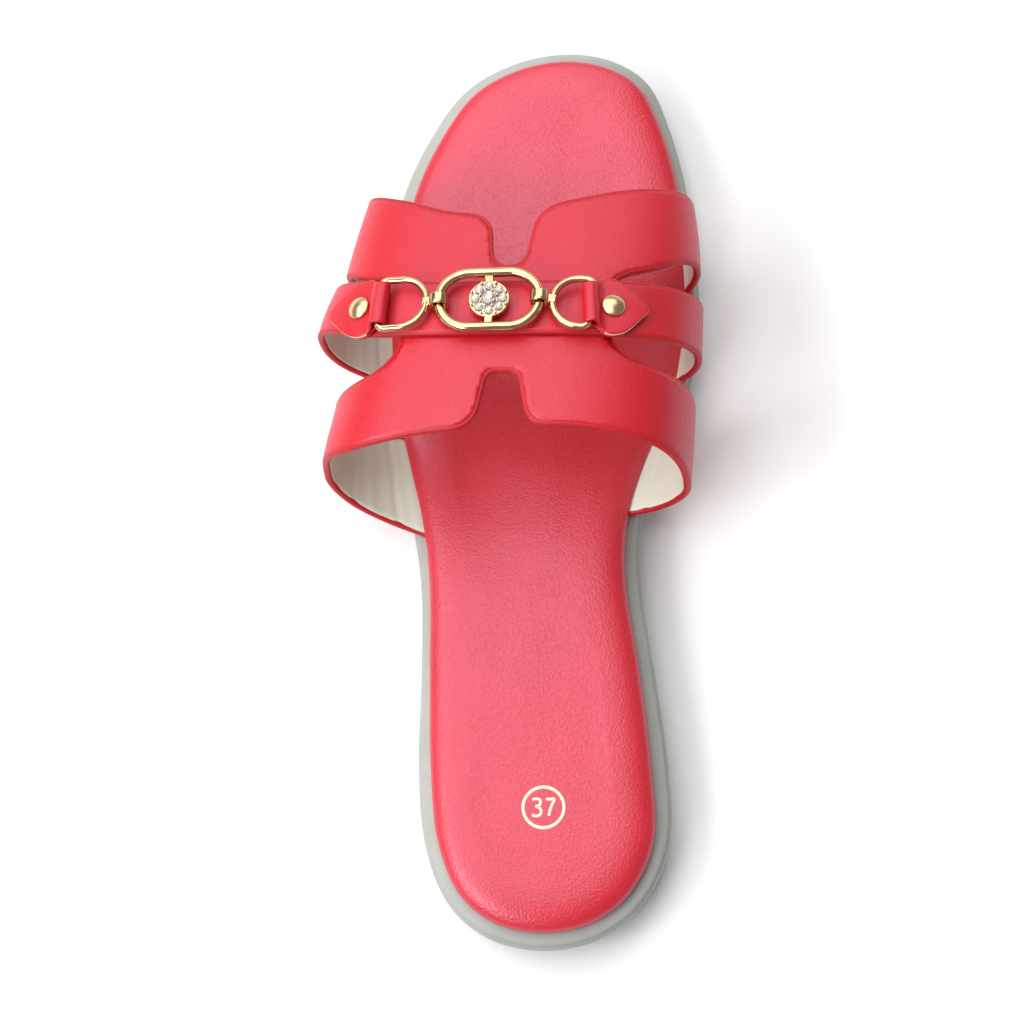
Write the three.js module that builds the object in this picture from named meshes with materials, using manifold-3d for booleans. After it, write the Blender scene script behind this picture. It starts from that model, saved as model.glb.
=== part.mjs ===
// Slide sandal for a left foot, European size 37, in millimetres, +Z up.
// A padded footbed sits on a moulded rubber outsole. The ends of the straps are tucked between the two.
// The upper is a wide vamp, slotted at its sides and notched at its crown, with a narrow strap joined
// across it. That strap carries a chain of metal links.
// The shoe is drawn with x from the heel's centre line, medial side positive, and y as the station,
// which runs from the back of the heel to the toe tip. At the end the pieces are moved together, so that
// the origin is under the middle of the shoe.
import * as THREE from "three";
import { mergeVertices } from "three/addons/utils/BufferGeometryUtils.js";
import Module from "manifold-3d";

const wasm = await Module();
wasm.setup();

// Driving dimensions
const LENGTH = 254; // outsole, heel to toe
const GAP = 0.3; // between pieces that touch on the real sandal
const LEATHER = 2.0; // thickness of the vamp and the cross strap
const TUCK = 3.5; // the straps start to bend this far inside the footbed's edge
const MARGIN = 6; // flat end of a strap, glued under the footbed
const HALF_GIRTH = 92; // mean length of strap from the crown to its bend under the footbed
const JOIN = 0.25; // the cross strap sinks this far into the vamp where they are joined

// Outline of the outsole at its widest rib. lateral and medial are x at each station, and the rims are the
// widths that show beside the footbed.
const OUTLINE = [
  { station: 0, lateral: 0.5, medial: 0.5, lateralRim: 4, medialRim: 4 },
  { station: 3, lateral: -14, medial: 15, lateralRim: 4, medialRim: 4 },
  { station: 12, lateral: -25, medial: 26.5, lateralRim: 4, medialRim: 4 },
  { station: 28, lateral: -31.5, medial: 33.5, lateralRim: 4, medialRim: 4 },
  { station: 48, lateral: -33.5, medial: 33.5, lateralRim: 4, medialRim: 4.5 },
  { station: 75, lateral: -33, medial: 30, lateralRim: 3, medialRim: 4 },
  { station: 101, lateral: -33.5, medial: 26.5, lateralRim: 3, medialRim: 4 },
  { station: 117, lateral: -36, medial: 27, lateralRim: 3.5, medialRim: 3.5 },
  { station: 130, lateral: -39.5, medial: 30.5, lateralRim: 4, medialRim: 3 },
  { station: 151, lateral: -44, medial: 39.5, lateralRim: 4, medialRim: 2.5 },
  { station: 171, lateral: -45.5, medial: 43.5, lateralRim: 4, medialRim: 2 },
  { station: 193, lateral: -44, medial: 43, lateralRim: 4.5, medialRim: 2 },
  { station: 214, lateral: -39.5, medial: 40.5, lateralRim: 4.5, medialRim: 2.5 },
  { station: 232, lateral: -31, medial: 36, lateralRim: 4.5, medialRim: 3 },
  { station: 245, lateral: -20.5, medial: 30, lateralRim: 4.5, medialRim: 4 },
  { station: 251.5, lateral: -8, medial: 20.5, lateralRim: 4.5, medialRim: 4.5 },
  { station: LENGTH, lateral: 7, medial: 7, lateralRim: 4.5, medialRim: 4.5 },
];

// Height of the outsole's top face (rim) and of its underside (tread), from the heel to the toe spring.
const HEIGHTS = [
  { station: 0, rim: 14.0, tread: 1.5 },
  { station: 9, rim: 14.0, tread: 0 },
  { station: 64, rim: 13.4, tread: 0 },
  { station: 78, rim: 12.9, tread: 1.2 },
  { station: 98, rim: 12.1, tread: 2.6 },
  { station: 118, rim: 11.1, tread: 1.2 },
  { station: 132, rim: 10.4, tread: 0 },
  { station: 160, rim: 9.3, tread: 0 },
  { station: 200, rim: 9.2, tread: 0 },
  { station: 228, rim: 10.7, tread: 1.7 },
  { station: LENGTH, rim: 14.0, tread: 6.5 },
];

// Side of the outsole from the tread up to the rim. inset is measured from the widest rib.
const SOLE_LOWER_WALL = [
  { inset: 2.6, aboveTread: 0 },
  { inset: 1.6, aboveTread: 0.9 },
];
const SOLE_UPPER_WALL = [
  { inset: 0.5, belowRim: 5.6 },
  { inset: 0, belowRim: 4.9 },
  { inset: 0, belowRim: 2.7 },
  { inset: 0.3, belowRim: 2.2 },
  { inset: 0.9, belowRim: 1.9 },
  { inset: 0.9, belowRim: 0.4 },
  { inset: 1.4, belowRim: 0 },
];

// Side and top of the padded footbed. inset is measured from the footbed's outline, rise from the rim.
const FOOTBED_PROFILE = [
  { inset: 0.5, rise: GAP },
  { inset: 0, rise: 1.3 },
  { inset: -0.1, rise: 2.8 },
  { inset: 0.3, rise: 4.3 },
  { inset: 1.3, rise: 5.6 },
  { inset: 3.2, rise: 6.5 },
  { inset: 7, rise: 7.0 },
];
const FOOTBED_CROWN = 7.2; // rise along the middle of the footbed

// Middle line that the flat faces of sole and footbed close on
const SPINE = { heel: 32, toe: 214 };
const OUTLINE_STEPS = 30; // stations along each side of the outlines

// Arch of the vamp's outer face at each station: the widest point of either side, and the crown.
const ARCH = [
  { station: 101, lateralX: -56, lateralZ: 32, crownX: -7, crownZ: 67.5, medialX: 39, medialZ: 32 },
  { station: 124, lateralX: -57, lateralZ: 33, crownX: -7, crownZ: 66, medialX: 41.5, medialZ: 33 },
  { station: 146, lateralX: -53, lateralZ: 32, crownX: -6.5, crownZ: 63.5, medialX: 43, medialZ: 32 },
  { station: 166, lateralX: -54, lateralZ: 30, crownX: -6, crownZ: 59, medialX: 44, medialZ: 30 },
  { station: 185, lateralX: -51, lateralZ: 28, crownX: -5, crownZ: 53, medialX: 44.5, medialZ: 28 },
  { station: 210, lateralX: -44.5, lateralZ: 26, crownX: -3.5, crownZ: 44.5, medialX: 42, medialZ: 26 },
];
const ARCH_POWER = 2.8; // 2 is an ellipse, more is squarer in the shoulders
const LEG_POWER = 1.7; // the same for the lower half, where less is straighter
const ARCH_STEPS = 24; // points in each quarter of an arch

// Edges of the vamp's front and back straps, as stations. around runs from -1 at the lateral sole
// through 0 at the crown to 1 at the medial sole.
const VAMP_EDGES = [
  { around: -1.1, front: 201, frontBack: 180, backFront: 140.5, back: 107.5 },
  { around: -0.8, front: 203, frontBack: 180.5, backFront: 141, back: 118 },
  { around: -0.6, front: 203, frontBack: 179, backFront: 142, back: 125 },
  { around: -0.4, front: 198.5, frontBack: 173, backFront: 145, back: 124.5 },
  { around: -0.2, front: 193, frontBack: 170, backFront: 151, back: 126.5 },
  { around: 0, front: 192, frontBack: 169.5, backFront: 153.5, back: 127.5 },
  { around: 0.2, front: 196, frontBack: 169.5, backFront: 151.5, back: 127.5 },
  { around: 0.4, front: 199.5, frontBack: 173, backFront: 146.5, back: 124.5 },
  { around: 0.6, front: 201, frontBack: 179, backFront: 142.5, back: 119.5 },
  { around: 0.8, front: 199.5, frontBack: 180.5, backFront: 139, back: 117.5 },
  { around: 1.1, front: 197.5, frontBack: 180, backFront: 138, back: 117 },
];
// Edges of the cross strap. Its medial half runs straight across, and its lateral leg swings to the toe.
const CROSS_EDGES = [
  { around: -1.1, crossFront: 169.5, crossBack: 152 },
  { around: -0.8, crossFront: 173.5, crossBack: 158 },
  { around: -0.6, crossFront: 175.5, crossBack: 161.5 },
  { around: -0.4, crossFront: 172, crossBack: 155.5 },
  { around: -0.2, crossFront: 169.5, crossBack: 153.5 },
  { around: 0, crossFront: 169, crossBack: 153 },
  { around: 0.6, crossFront: 169, crossBack: 153 },
  { around: 1.1, crossFront: 169.5, crossBack: 155 },
];
const WEB_HALF = 27; // half width of the vamp's middle, between the side slots
const SLOT_ROUND = 9.5; // rounding of the slots' inner corners
// Notches in the vamp's front and back edges, at the crown
const FRONT_NOTCH = { end: 175, half: 4, flare: 0.15, round: 5, lip: 7 };
const BACK_NOTCH = { end: 143, half: 3.75, flare: 0.15, round: 2.5, lip: 6 };
// The cross strap lies on the vamp, and the back edge of its lateral leg stands further out
const CROSS_LEG = { leaves: 0.55, seated: 0.93 };
const CROSS_BULGE = { out: 3.6, around: -0.64, spread: 0.18, leaves: 0.8, seated: 0.95 };

// Grid lines of the vamp's pattern, as shares of the way round and as stations
const VAMP_COLUMNS = { step: 4.4, fineStep: 2.2, fineWithin: 14.6 };
const VAMP_ROWS = { from: 104, to: 206, steps: 26 };
const CROSS_GRID = { columns: 42, rows: 4 };
// Room that is cut in the footbed for the tucked end of a strap
const TUCK_ROOM = { from: 0.8, spare: 0.45, under: 2, columns: 14, rows: 4 };

// Chain on the cross strap. around gives the places of its pieces on the strap.
// The links lean towards the toe as the leather does. over is a piece's clearance from what it lies on.
const CHAIN_LEAN = new THREE.Vector3(0, 1, -0.2).normalize();
const OVAL = { length: 29, width: 18.8, wire: 1.3, around: -0.042, station: 161.5, over: 1.2 };
const RING = { width: 14.2, wire: 0.95, corner: 2 };
const NECK = { width: 2.7, length: 0.9, bite: 0.5 }; // joins the ring to its collar
const COLLAR = { length: 3.2, wall: 0.75, play: 0.5 };
const TAB = { leather: 0.85, thick: 1.9, play: 0.3, over: 0.4, loopOver: 0.9, loopWidth: 11 };
const TAB_GRID = { columns: 10, rows: 4 };
const TAB_PLAN = [
  { along: 0, half: 5.5 },
  { along: 1.7, half: 6.6 },
  { along: 3.6, half: 7.9 },
  { along: 5.6, half: 8 },
  { along: 7.8, half: 7.2 },
  { along: 9.8, half: 5.6 },
  { along: 11.8, half: 3.5 },
  { along: 13.4, half: 1.8 },
  { along: 14.4, half: 0.6 },
];
const RIVET = { along: 5.5, over: 0.4, head: 3.1, brim: 0.3, dome: 1.2, shank: 1.2 };
const RIVET_BACK = { radius: 2.4, thick: 0.7 };
const RIVET_HOLE = { play: 0.35, below: 12, above: 6 };
// Each side of the chain: where its ring's bar and its tab's tip sit, and the layers that the rivet holds
const SIDES = [
  { name: "lateral", sign: -1, barAround: -0.341, barStation: 162, tipStation: 163, layers: 1 },
  { name: "medial", sign: 1, barAround: 0.244, barStation: 159.6, tipStation: 159.6, layers: 2 },
];
// Rosette of cut stones that fills the middle of the oval link
const ROSETTE = { plate: 5.4, plateThick: 1.2, bridge: 2.4, seat: 0.15 };
const STONES = { centre: 2, petal: 1.25, petals: 8, petalCircle: 3.65 };
const STONE_CUT = { girdle: 0.3, table: 0.58, high: 0.7 }; // shares of the stone's radius
// Facets round each kind of round piece, and steps along each wire and over the rivet's dome
const FACETS = { wire: 8, collar: 14, plate: 20, stone: 8, rivet: 14, hole: 12, loop: 16 };
const STEPS = { oval: 34, ring: 34, dome: 4 };

const COLOURS = {
  red: { color: 0xe0313f, roughness: 0.45, metalness: 0 },
  rubber: { color: 0xb9beb8, roughness: 0.6, metalness: 0 },
  gold: { color: 0xd9b871, roughness: 0.22, metalness: 1 },
  crystal: { color: 0xf4f8ff, roughness: 0.03, metalness: 0 },
};

// Small helpers
const { clamp, lerp, smoothstep } = THREE.MathUtils;
const SAME_POINT = 1e-4; // vertices nearer than this are merged

/** Smooth curve through one column of a table, read at any value of the column that it is ordered by. */
function column(table, key, by = "station") {
  const curve = new THREE.CubicInterpolant(table.map((row) => row[by]), table.map((row) => row[key]), 1);
  return (at) => curve.evaluate(at)[0];
}

/** A curve for every column of a table but the one that it is ordered by. */
const curvesOf = (table, by) => Object.fromEntries(
  Object.keys(table[0]).filter((key) => key !== by).map((key) => [key, column(table, key, by)]),
);

/** The smaller of two values, with the corner between them rounded over a width of round. */
function roundedMin(a, b, round) {
  const near = Math.max(round - Math.abs(a - b), 0) / round;
  return Math.min(a, b) - (near * near * round) / 4;
}

/** Closed solid from a geometry whose shared vertices have been merged. */
function solidOf(geometry) {
  const bare = new THREE.BufferGeometry().setAttribute("position", geometry.getAttribute("position"));
  bare.setIndex(geometry.index);
  const merged = mergeVertices(bare, SAME_POINT);
  const corners = [];
  for (let i = 0; i < merged.index.count; i += 3) {
    const face = [0, 1, 2].map((k) => merged.index.getX(i + k));
    if (new Set(face).size === 3) corners.push(...face);
  }
  const vertProperties = new Float32Array(merged.getAttribute("position").array);
  const triVerts = new Uint32Array(corners);
  return new wasm.Manifold(new wasm.Mesh({ numProp: 3, vertProperties, triVerts }));
}

/** Geometry of a solid, with flat faces. */
function geometryOf(solid) {
  const mesh = solid.getMesh();
  const geometry = new THREE.BufferGeometry();
  geometry.setAttribute("position", new THREE.BufferAttribute(new Float32Array(mesh.vertProperties), 3));
  geometry.setIndex(new THREE.BufferAttribute(new Uint32Array(mesh.triVerts), 1));
  return geometry.toNonIndexed();
}

/** Indexed geometry from a list of points and a list of triangles. */
function meshOf(points, triangles) {
  const geometry = new THREE.BufferGeometry().setFromPoints(points);
  geometry.setIndex(triangles.flat());
  return geometry;
}

/** Solid with a closed ring of points on each level, from its lowest level to its highest. */
function loft(rings) {
  const count = rings[0].length;
  const triangles = [];
  for (let level = 0; level + 1 < rings.length; level++) {
    for (let i = 0; i < count; i++) {
      const next = (i + 1) % count;
      const [a, b] = [level * count + i, level * count + next];
      const [c, d] = [(level + 1) * count + next, (level + 1) * count + i];
      triangles.push([a, b, c], [a, c, d]);
    }
  }
  return solidOf(meshOf(rings.flat(), triangles));
}

// Outline and heights of the sole

/** Stations are spaced by the cosine of this angle, so that they crowd together round heel and toe. */
const turnAt = (station) => Math.acos(1 - (2 * station) / LENGTH);
const outlineAt = curvesOf(OUTLINE.map((row) => ({ ...row, turn: turnAt(row.station) })), "turn");
const rimAt = column(HEIGHTS, "rim");
const treadCurve = column(HEIGHTS, "tread");
const treadAt = (station) => Math.max(0, treadCurve(station));
const sideName = (sign) => (sign < 0 ? "lateral" : "medial");
const sideAt = (sign, station) => outlineAt[sideName(sign)](turnAt(station));
const footbedInset = (sign, station) => outlineAt[sideName(sign) + "Rim"](turnAt(station));
const ringSign = (i) => (i <= OUTLINE_STEPS ? 1 : -1); // side of a point of the outline ring

/** Outline from the heel up the medial side to the toe and back down the lateral side, as (x, station). */
function outlineRing() {
  const ring = [];
  for (let i = 0; i < 2 * OUTLINE_STEPS; i++) {
    const step = ringSign(i) > 0 ? i : 2 * OUTLINE_STEPS - i;
    const station = (LENGTH / 2) * (1 - Math.cos((Math.PI * step) / OUTLINE_STEPS));
    ring.push(new THREE.Vector2(sideAt(ringSign(i), station), station));
  }
  return ring;
}
const OUTLINE_RING = outlineRing();

/** The outline moved inwards by insetAt(side, station), at heights given by heightAt(station). */
function insetRing(insetAt, heightAt) {
  const count = OUTLINE_RING.length;
  return OUTLINE_RING.map((point, i) => {
    const before = OUTLINE_RING[(i + count - 1) % count];
    const after = OUTLINE_RING[(i + 1) % count];
    const inward = new THREE.Vector2(before.y - after.y, after.x - before.x).normalize();
    const moved = point.clone().addScaledVector(inward, insetAt(ringSign(i), point.y));
    return new THREE.Vector3(moved.x, moved.y, heightAt(moved.y));
  });
}

/** A ring drawn in to the spine, by a share of 1 for all the way, at heights given by heightAt(station). */
function ringToSpine(ring, share, heightAt) {
  return ring.map((point, i) => {
    const station = clamp(OUTLINE_RING[i].y, SPINE.heel, SPINE.toe);
    const middle = (sideAt(-1, station) + sideAt(1, station)) / 2;
    const x = lerp(point.x, middle, share);
    const y = lerp(point.y, station, share);
    return new THREE.Vector3(x, y, heightAt(y));
  });
}

function outsole() {
  const above = (height) => (y) => treadAt(y) + height;
  const below = (depth) => (y) => rimAt(y) - depth;
  const lower = SOLE_LOWER_WALL.map((row) => insetRing(() => row.inset, above(row.aboveTread)));
  const upper = SOLE_UPPER_WALL.map((row) => insetRing(() => row.inset, below(row.belowRim)));
  const underside = ringToSpine(lower[0], 1, treadAt);
  const topFace = ringToSpine(upper.at(-1), 1, rimAt);
  return loft([underside, ...lower, ...upper, topFace]);
}

function footbedBlank() {
  const rise = (amount) => (y) => rimAt(y) + amount;
  const insetBy = (amount) => (sign, y) => footbedInset(sign, y) + amount;
  const rings = FOOTBED_PROFILE.map((row) => insetRing(insetBy(row.inset), rise(row.rise)));
  const underside = ringToSpine(rings[0], 1, rise(GAP));
  const crown = ringToSpine(rings.at(-1), 1, rise(FOOTBED_CROWN));
  return loft([underside, ...rings, crown]);
}

// Surface that the straps are lasted on

const archAt = curvesOf(ARCH, "station");

/** One side of the arch at a station, as (x, z) points from the crown down and in under the footbed. */
function archSide(sign, station) {
  const side = sideName(sign);
  const [wideX, wideZ] = [archAt[side + "X"](station), archAt[side + "Z"](station)];
  const [crownX, crownZ] = [archAt.crownX(station), archAt.crownZ(station)];
  const footX = sideAt(sign, station) - sign * (footbedInset(sign, station) + TUCK);
  const footZ = rimAt(station) + GAP;
  const points = [];
  for (let i = 0; i <= ARCH_STEPS; i++) {
    const angle = (i / ARCH_STEPS) * (Math.PI / 2);
    const across = Math.sin(angle) ** (2 / ARCH_POWER);
    const up = Math.cos(angle) ** (2 / ARCH_POWER);
    points.push(new THREE.Vector2(crownX + (wideX - crownX) * across, wideZ + (crownZ - wideZ) * up));
  }
  for (let i = 1; i <= ARCH_STEPS; i++) {
    const angle = (i / ARCH_STEPS) * (Math.PI / 2);
    const out = Math.cos(angle) ** (2 / LEG_POWER);
    const down = Math.sin(angle) ** (2 / LEG_POWER);
    points.push(new THREE.Vector2(footX + (wideX - footX) * out, wideZ - (wideZ - footZ) * down));
  }
  return points;
}

/** Point of the vamp's outer face. Past the foot of the arch it runs flat under the footbed. */
function lastPoint(around, station) {
  const sign = around < 0 ? -1 : 1;
  const points = archSide(sign, station);
  const lengths = [0];
  for (let i = 1; i < points.length; i++) {
    lengths.push(lengths[i - 1] + points[i].distanceTo(points[i - 1]));
  }
  const girth = lengths.at(-1);
  const along = Math.min(Math.abs(around), 1) * girth;
  const beyond = Math.max(Math.abs(around) - 1, 0) * HALF_GIRTH;
  const next = Math.max(1, lengths.findIndex((length) => length >= along));
  const share = (along - lengths[next - 1]) / (lengths[next] - lengths[next - 1]);
  const at = points[next - 1].clone().lerp(points[next], share);
  return new THREE.Vector3(at.x - sign * beyond, station, at.y);
}

/** Outward normal of the last at a point, from small steps round it and along it. */
function lastNormal(around, station) {
  const [step, stride] = [0.012, 1];
  const acrossWay = lastPoint(around + step, station).sub(lastPoint(around - step, station));
  const alongWay = lastPoint(around, station + stride).sub(lastPoint(around, station - stride));
  return acrossWay.cross(alongWay).normalize();
}

/** Point at a distance out from the vamp's outer face. */
function offLast(around, station, out) {
  return lastPoint(around, station).addScaledVector(lastNormal(around, station), out);
}

// Sheets of leather: a flat pattern is cut out of a grid and lasted

/**
 * Solid wall over the part of a grid where inside(u, v) is positive. Cells on its edge are clipped.
 * place(u, v, face) puts a grid point on the wall's outer face (1) or its inner face (0).
 */
function sheet(us, vs, inside, place) {
  const leastValue = 0.08; // keeps clipped corners from becoming slivers
  const value = us.map((u) => vs.map((v) => {
    const raw = inside(u, v);
    return Math.abs(raw) < leastValue ? leastValue * (raw < 0 ? -1 : 1) : raw;
  }));
  const flat = [];
  const known = new Map();
  const vertex = (key, u, v) => {
    if (!known.has(key)) known.set(key, flat.push([u, v]) - 1);
    return known.get(key);
  };
  const triangles = [];
  for (let i = 0; i + 1 < us.length; i++) {
    for (let j = 0; j + 1 < vs.length; j++) {
      const corners = [[i, j], [i + 1, j], [i + 1, j + 1], [i, j + 1]];
      const polygon = [];
      corners.forEach(([a, b], k) => {
        const [c, d] = corners[(k + 1) % 4];
        const [here, there] = [value[a][b], value[c][d]];
        if (here > 0) polygon.push(vertex(`${a},${b}`, us[a], vs[b]));
        if (here > 0 !== there > 0) {
          const share = here / (here - there);
          const key = [`${a},${b}`, `${c},${d}`].sort().join(" to ");
          polygon.push(vertex(key, us[a] + (us[c] - us[a]) * share, vs[b] + (vs[d] - vs[b]) * share));
        }
      });
      for (let k = 2; k < polygon.length; k++) triangles.push([polygon[0], polygon[k - 1], polygon[k]]);
    }
  }
  const count = flat.length;
  const points = [1, 0].flatMap((face) => flat.map(([u, v]) => place(u, v, face)));
  const edges = new Set(triangles.flatMap(([a, b, c]) => [`${a} ${b}`, `${b} ${c}`, `${c} ${a}`]));
  const inner = triangles.map(([a, b, c]) => [a + count, c + count, b + count]);
  const walls = [];
  for (const edge of edges) {
    const [a, b] = edge.split(" ").map(Number);
    if (!edges.has(`${b} ${a}`)) walls.push([b, a, a + count], [b, a + count, b + count]);
  }
  return solidOf(meshOf(points, [...triangles, ...inner, ...walls]));
}

/** Evenly spaced values from a first to a last one. */
function spread(from, to, steps) {
  return Array.from({ length: steps + 1 }, (_, i) => lerp(from, to, i / steps));
}

const edgeAt = { ...curvesOf(VAMP_EDGES, "around"), ...curvesOf(CROSS_EDGES, "around") };
const STRAP_END = 1 + MARGIN / HALF_GIRTH;

/** How far inside a notch a point lies. depth is measured from the notch's closed end. */
function insideNotch(notch, side, depth) {
  return roundedMin(notch.half + notch.flare * Math.max(depth, 0) - Math.abs(side), depth, notch.round);
}

/** How far inside the vamp's pattern a point lies: negative in slots and notches and outside. */
function insideVamp(around, station) {
  const side = around * HALF_GIRTH;
  const beyondWeb = Math.abs(side) - WEB_HALF;
  const inSlot = Math.min(edgeAt.frontBack(around) - station, station - edgeAt.backFront(around));
  const slot = roundedMin(inSlot, beyondWeb, SLOT_ROUND);
  const frontNotch = insideNotch(FRONT_NOTCH, side, station - FRONT_NOTCH.end);
  const backNotch = insideNotch(BACK_NOTCH, side, BACK_NOTCH.end - station);
  const front = roundedMin(edgeAt.front(around) - station, -frontNotch, FRONT_NOTCH.lip);
  const back = roundedMin(station - edgeAt.back(around), -backNotch, BACK_NOTCH.lip);
  return Math.min(front, back, -slot);
}

/** Grid lines round the vamp, closer together at the notches. */
function vampColumns() {
  const half = [0];
  while (half.at(-1) < STRAP_END * HALF_GIRTH) {
    const fine = half.at(-1) < VAMP_COLUMNS.fineWithin;
    half.push(half.at(-1) + (fine ? VAMP_COLUMNS.fineStep : VAMP_COLUMNS.step));
  }
  half[half.length - 1] = STRAP_END * HALF_GIRTH;
  const shares = half.map((side) => side / HALF_GIRTH);
  return [...shares.slice(1).reverse().map((share) => -share), ...shares];
}

function vamp() {
  const rows = spread(VAMP_ROWS.from, VAMP_ROWS.to, VAMP_ROWS.steps);
  const place = (around, station, face) => offLast(around, station, face ? 0 : -LEATHER);
  return sheet(vampColumns(), rows, insideVamp, place);
}

/** Height of the cross strap's outer face over the vamp's. It comes down to the vamp's level at the sole. */
function crossLift(around, station) {
  const lying = (LEATHER - JOIN) * (1 - smoothstep(Math.abs(around), CROSS_LEG.leaves, CROSS_LEG.seated));
  const [front, back] = [edgeAt.crossFront(around), edgeAt.crossBack(around)];
  const towardsBack = clamp((front - station) / (front - back), 0, 1);
  const away = (around - CROSS_BULGE.around) / CROSS_BULGE.spread;
  const seated = smoothstep(Math.abs(around), CROSS_BULGE.leaves, CROSS_BULGE.seated);
  return lying + CROSS_BULGE.out * towardsBack * Math.exp(-away * away) * (1 - seated);
}

/** Point at a distance out from the cross strap's outer face. */
const offCross = (around, station, out) => offLast(around, station, crossLift(around, station) + out);

function crossStrap() {
  const place = (around, share, face) => {
    const station = lerp(edgeAt.crossBack(around), edgeAt.crossFront(around), share);
    return offCross(around, station, face ? 0 : -LEATHER);
  };
  const columns = spread(-STRAP_END, STRAP_END, CROSS_GRID.columns);
  return sheet(columns, spread(0, 1, CROSS_GRID.rows), () => 1, place);
}

/** Room that a strap's tucked end needs in the footbed: the end with a gap, and all that is under it. */
function tuckRoom(sign, backKey, frontKey) {
  const grow = GAP + TUCK_ROOM.spare;
  const shares = spread(TUCK_ROOM.from, STRAP_END + grow / HALF_GIRTH, TUCK_ROOM.columns);
  const around = shares.map((share) => sign * share).sort((a, b) => a - b);
  const place = (at, share, face) => {
    const station = lerp(edgeAt[backKey](at) - grow, edgeAt[frontKey](at) + grow, share);
    const lift = backKey === "crossBack" ? crossLift(at, station) : 0;
    return offLast(at, station, lift + (face ? TUCK_ROOM.under : -LEATHER - grow));
  };
  return sheet(around, spread(0, 1, TUCK_ROOM.rows), () => 1, place);
}

function footbed() {
  const straps = [["back", "backFront"], ["crossBack", "crossFront"], ["frontBack", "front"]];
  const rooms = [-1, 1].flatMap((sign) => straps.map(([back, front]) => tuckRoom(sign, back, front)));
  return rooms.reduce((pad, room) => pad.subtract(room), footbedBlank());
}

// Chain of the cross strap

/** Frame at a height over the cross strap: round the strap (x), to the toe (y) and out (z). */
function strapFrame(around, station, out) {
  const normal = lastNormal(around, station);
  const toToe = offLast(around, station + 1, 0).sub(offLast(around, station - 1, 0)).normalize();
  const alongStrap = toToe.clone().cross(normal).normalize();
  return new THREE.Matrix4()
    .makeBasis(alongStrap, normal.clone().cross(alongStrap), normal)
    .setPosition(offCross(around, station, out));
}

/** Frame of a link, with its x axis from one point to another and its y axis leaning as the chain does. */
function linkFrame(from, to) {
  const along = to.clone().sub(from).normalize();
  const normal = along.clone().cross(CHAIN_LEAN).normalize();
  return new THREE.Matrix4().makeBasis(along, normal.clone().cross(along), normal).setPosition(from);
}

/** Round wire along a closed flat path in the xy plane. */
function wireLoop(path, steps, radius) {
  const sides = FACETS.wire;
  const centres = path.getSpacedPoints(steps).slice(0, steps);
  const rings = centres.map((point, i) => {
    const way = centres[(i + 1) % steps].clone().sub(centres[(i + steps - 1) % steps]).normalize();
    return spread(0, 2 * Math.PI, sides).slice(0, sides).map((angle) => {
      const out = radius * Math.cos(angle);
      return new THREE.Vector3(point.x + way.y * out, point.y - way.x * out, radius * Math.sin(angle));
    });
  });
  const triangles = [];
  rings.forEach((_, i) => {
    for (let k = 0; k < sides; k++) {
      const [a, b] = [i * sides + k, i * sides + ((k + 1) % sides)];
      const [c, d] = [((i + 1) % steps) * sides + ((k + 1) % sides), ((i + 1) % steps) * sides + k];
      triangles.push([a, c, b], [a, d, c]);
    }
  });
  return solidOf(meshOf(rings.flat(), triangles));
}

/** Ring or plug turned about the y axis from a closed (radius, height) profile. */
function turned(profile, segments) {
  const points = profile.map(([radius, height]) => new THREE.Vector2(radius, height));
  return solidOf(new THREE.LatheGeometry([...points, points[0]], segments));
}

/** Block of the given size with its middle at x on the x axis. */
function block(width, depth, height, x) {
  return solidOf(new THREE.BoxGeometry(width, depth, height).translate(x, 0, 0));
}

const moved = (solid, frame) => solid.transform(frame.elements);
const upright = new THREE.Matrix4().makeRotationX(Math.PI / 2); // turns a lathe's y axis to z

/** Stadium path about the origin: straight sides along x, round ends. */
function stadium(length, width) {
  const [radius, half] = [width / 2, (length - width) / 2];
  return new THREE.Path()
    .moveTo(-half, -radius)
    .lineTo(half, -radius)
    .absarc(half, 0, radius, -Math.PI / 2, Math.PI / 2, false)
    .lineTo(-half, radius)
    .absarc(-half, 0, radius, Math.PI / 2, (3 * Math.PI) / 2, false);
}

const OVAL_REACH = OVAL.length / 2 - OVAL.wire; // from the oval's middle to the wire at its end
const ovalFrame = (() => {
  const middle = offCross(OVAL.around, OVAL.station, OVAL.wire + OVAL.over);
  const half = OVAL.length / 2 / HALF_GIRTH;
  const [before, after] = [-half, half].map((step) => lastPoint(OVAL.around + step, OVAL.station));
  return linkFrame(middle, middle.clone().add(after).sub(before));
})();

function ovalLink() {
  const width = OVAL.width - 2 * OVAL.wire;
  const loop = wireLoop(stadium(2 * OVAL_REACH, width), STEPS.oval, OVAL.wire);
  const half = ROSETTE.plateThick / 2;
  const disc = [[0, -half], [ROSETTE.plate, -half], [ROSETTE.plate, half], [0, half]];
  const plate = turned(disc, FACETS.plate).transform(upright.elements);
  const bridge = block(ROSETTE.bridge, width, ROSETTE.plateThick, 0);
  return moved(loop.add(bridge).add(plate), ovalFrame);
}

/** Cut stone: a low crown over a thin girdle. */
function stone(radius, x, y) {
  const high = radius * STONE_CUT.high;
  const table = radius * STONE_CUT.table;
  const profile = [[0, 0], [radius, 0], [radius, radius * STONE_CUT.girdle], [table, high], [0, high]];
  const seat = ROSETTE.plateThick / 2 + ROSETTE.seat;
  const place = new THREE.Matrix4().makeTranslation(x, y, seat).multiply(upright);
  return moved(turned(profile, FACETS.stone).transform(place.elements), ovalFrame);
}

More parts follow.
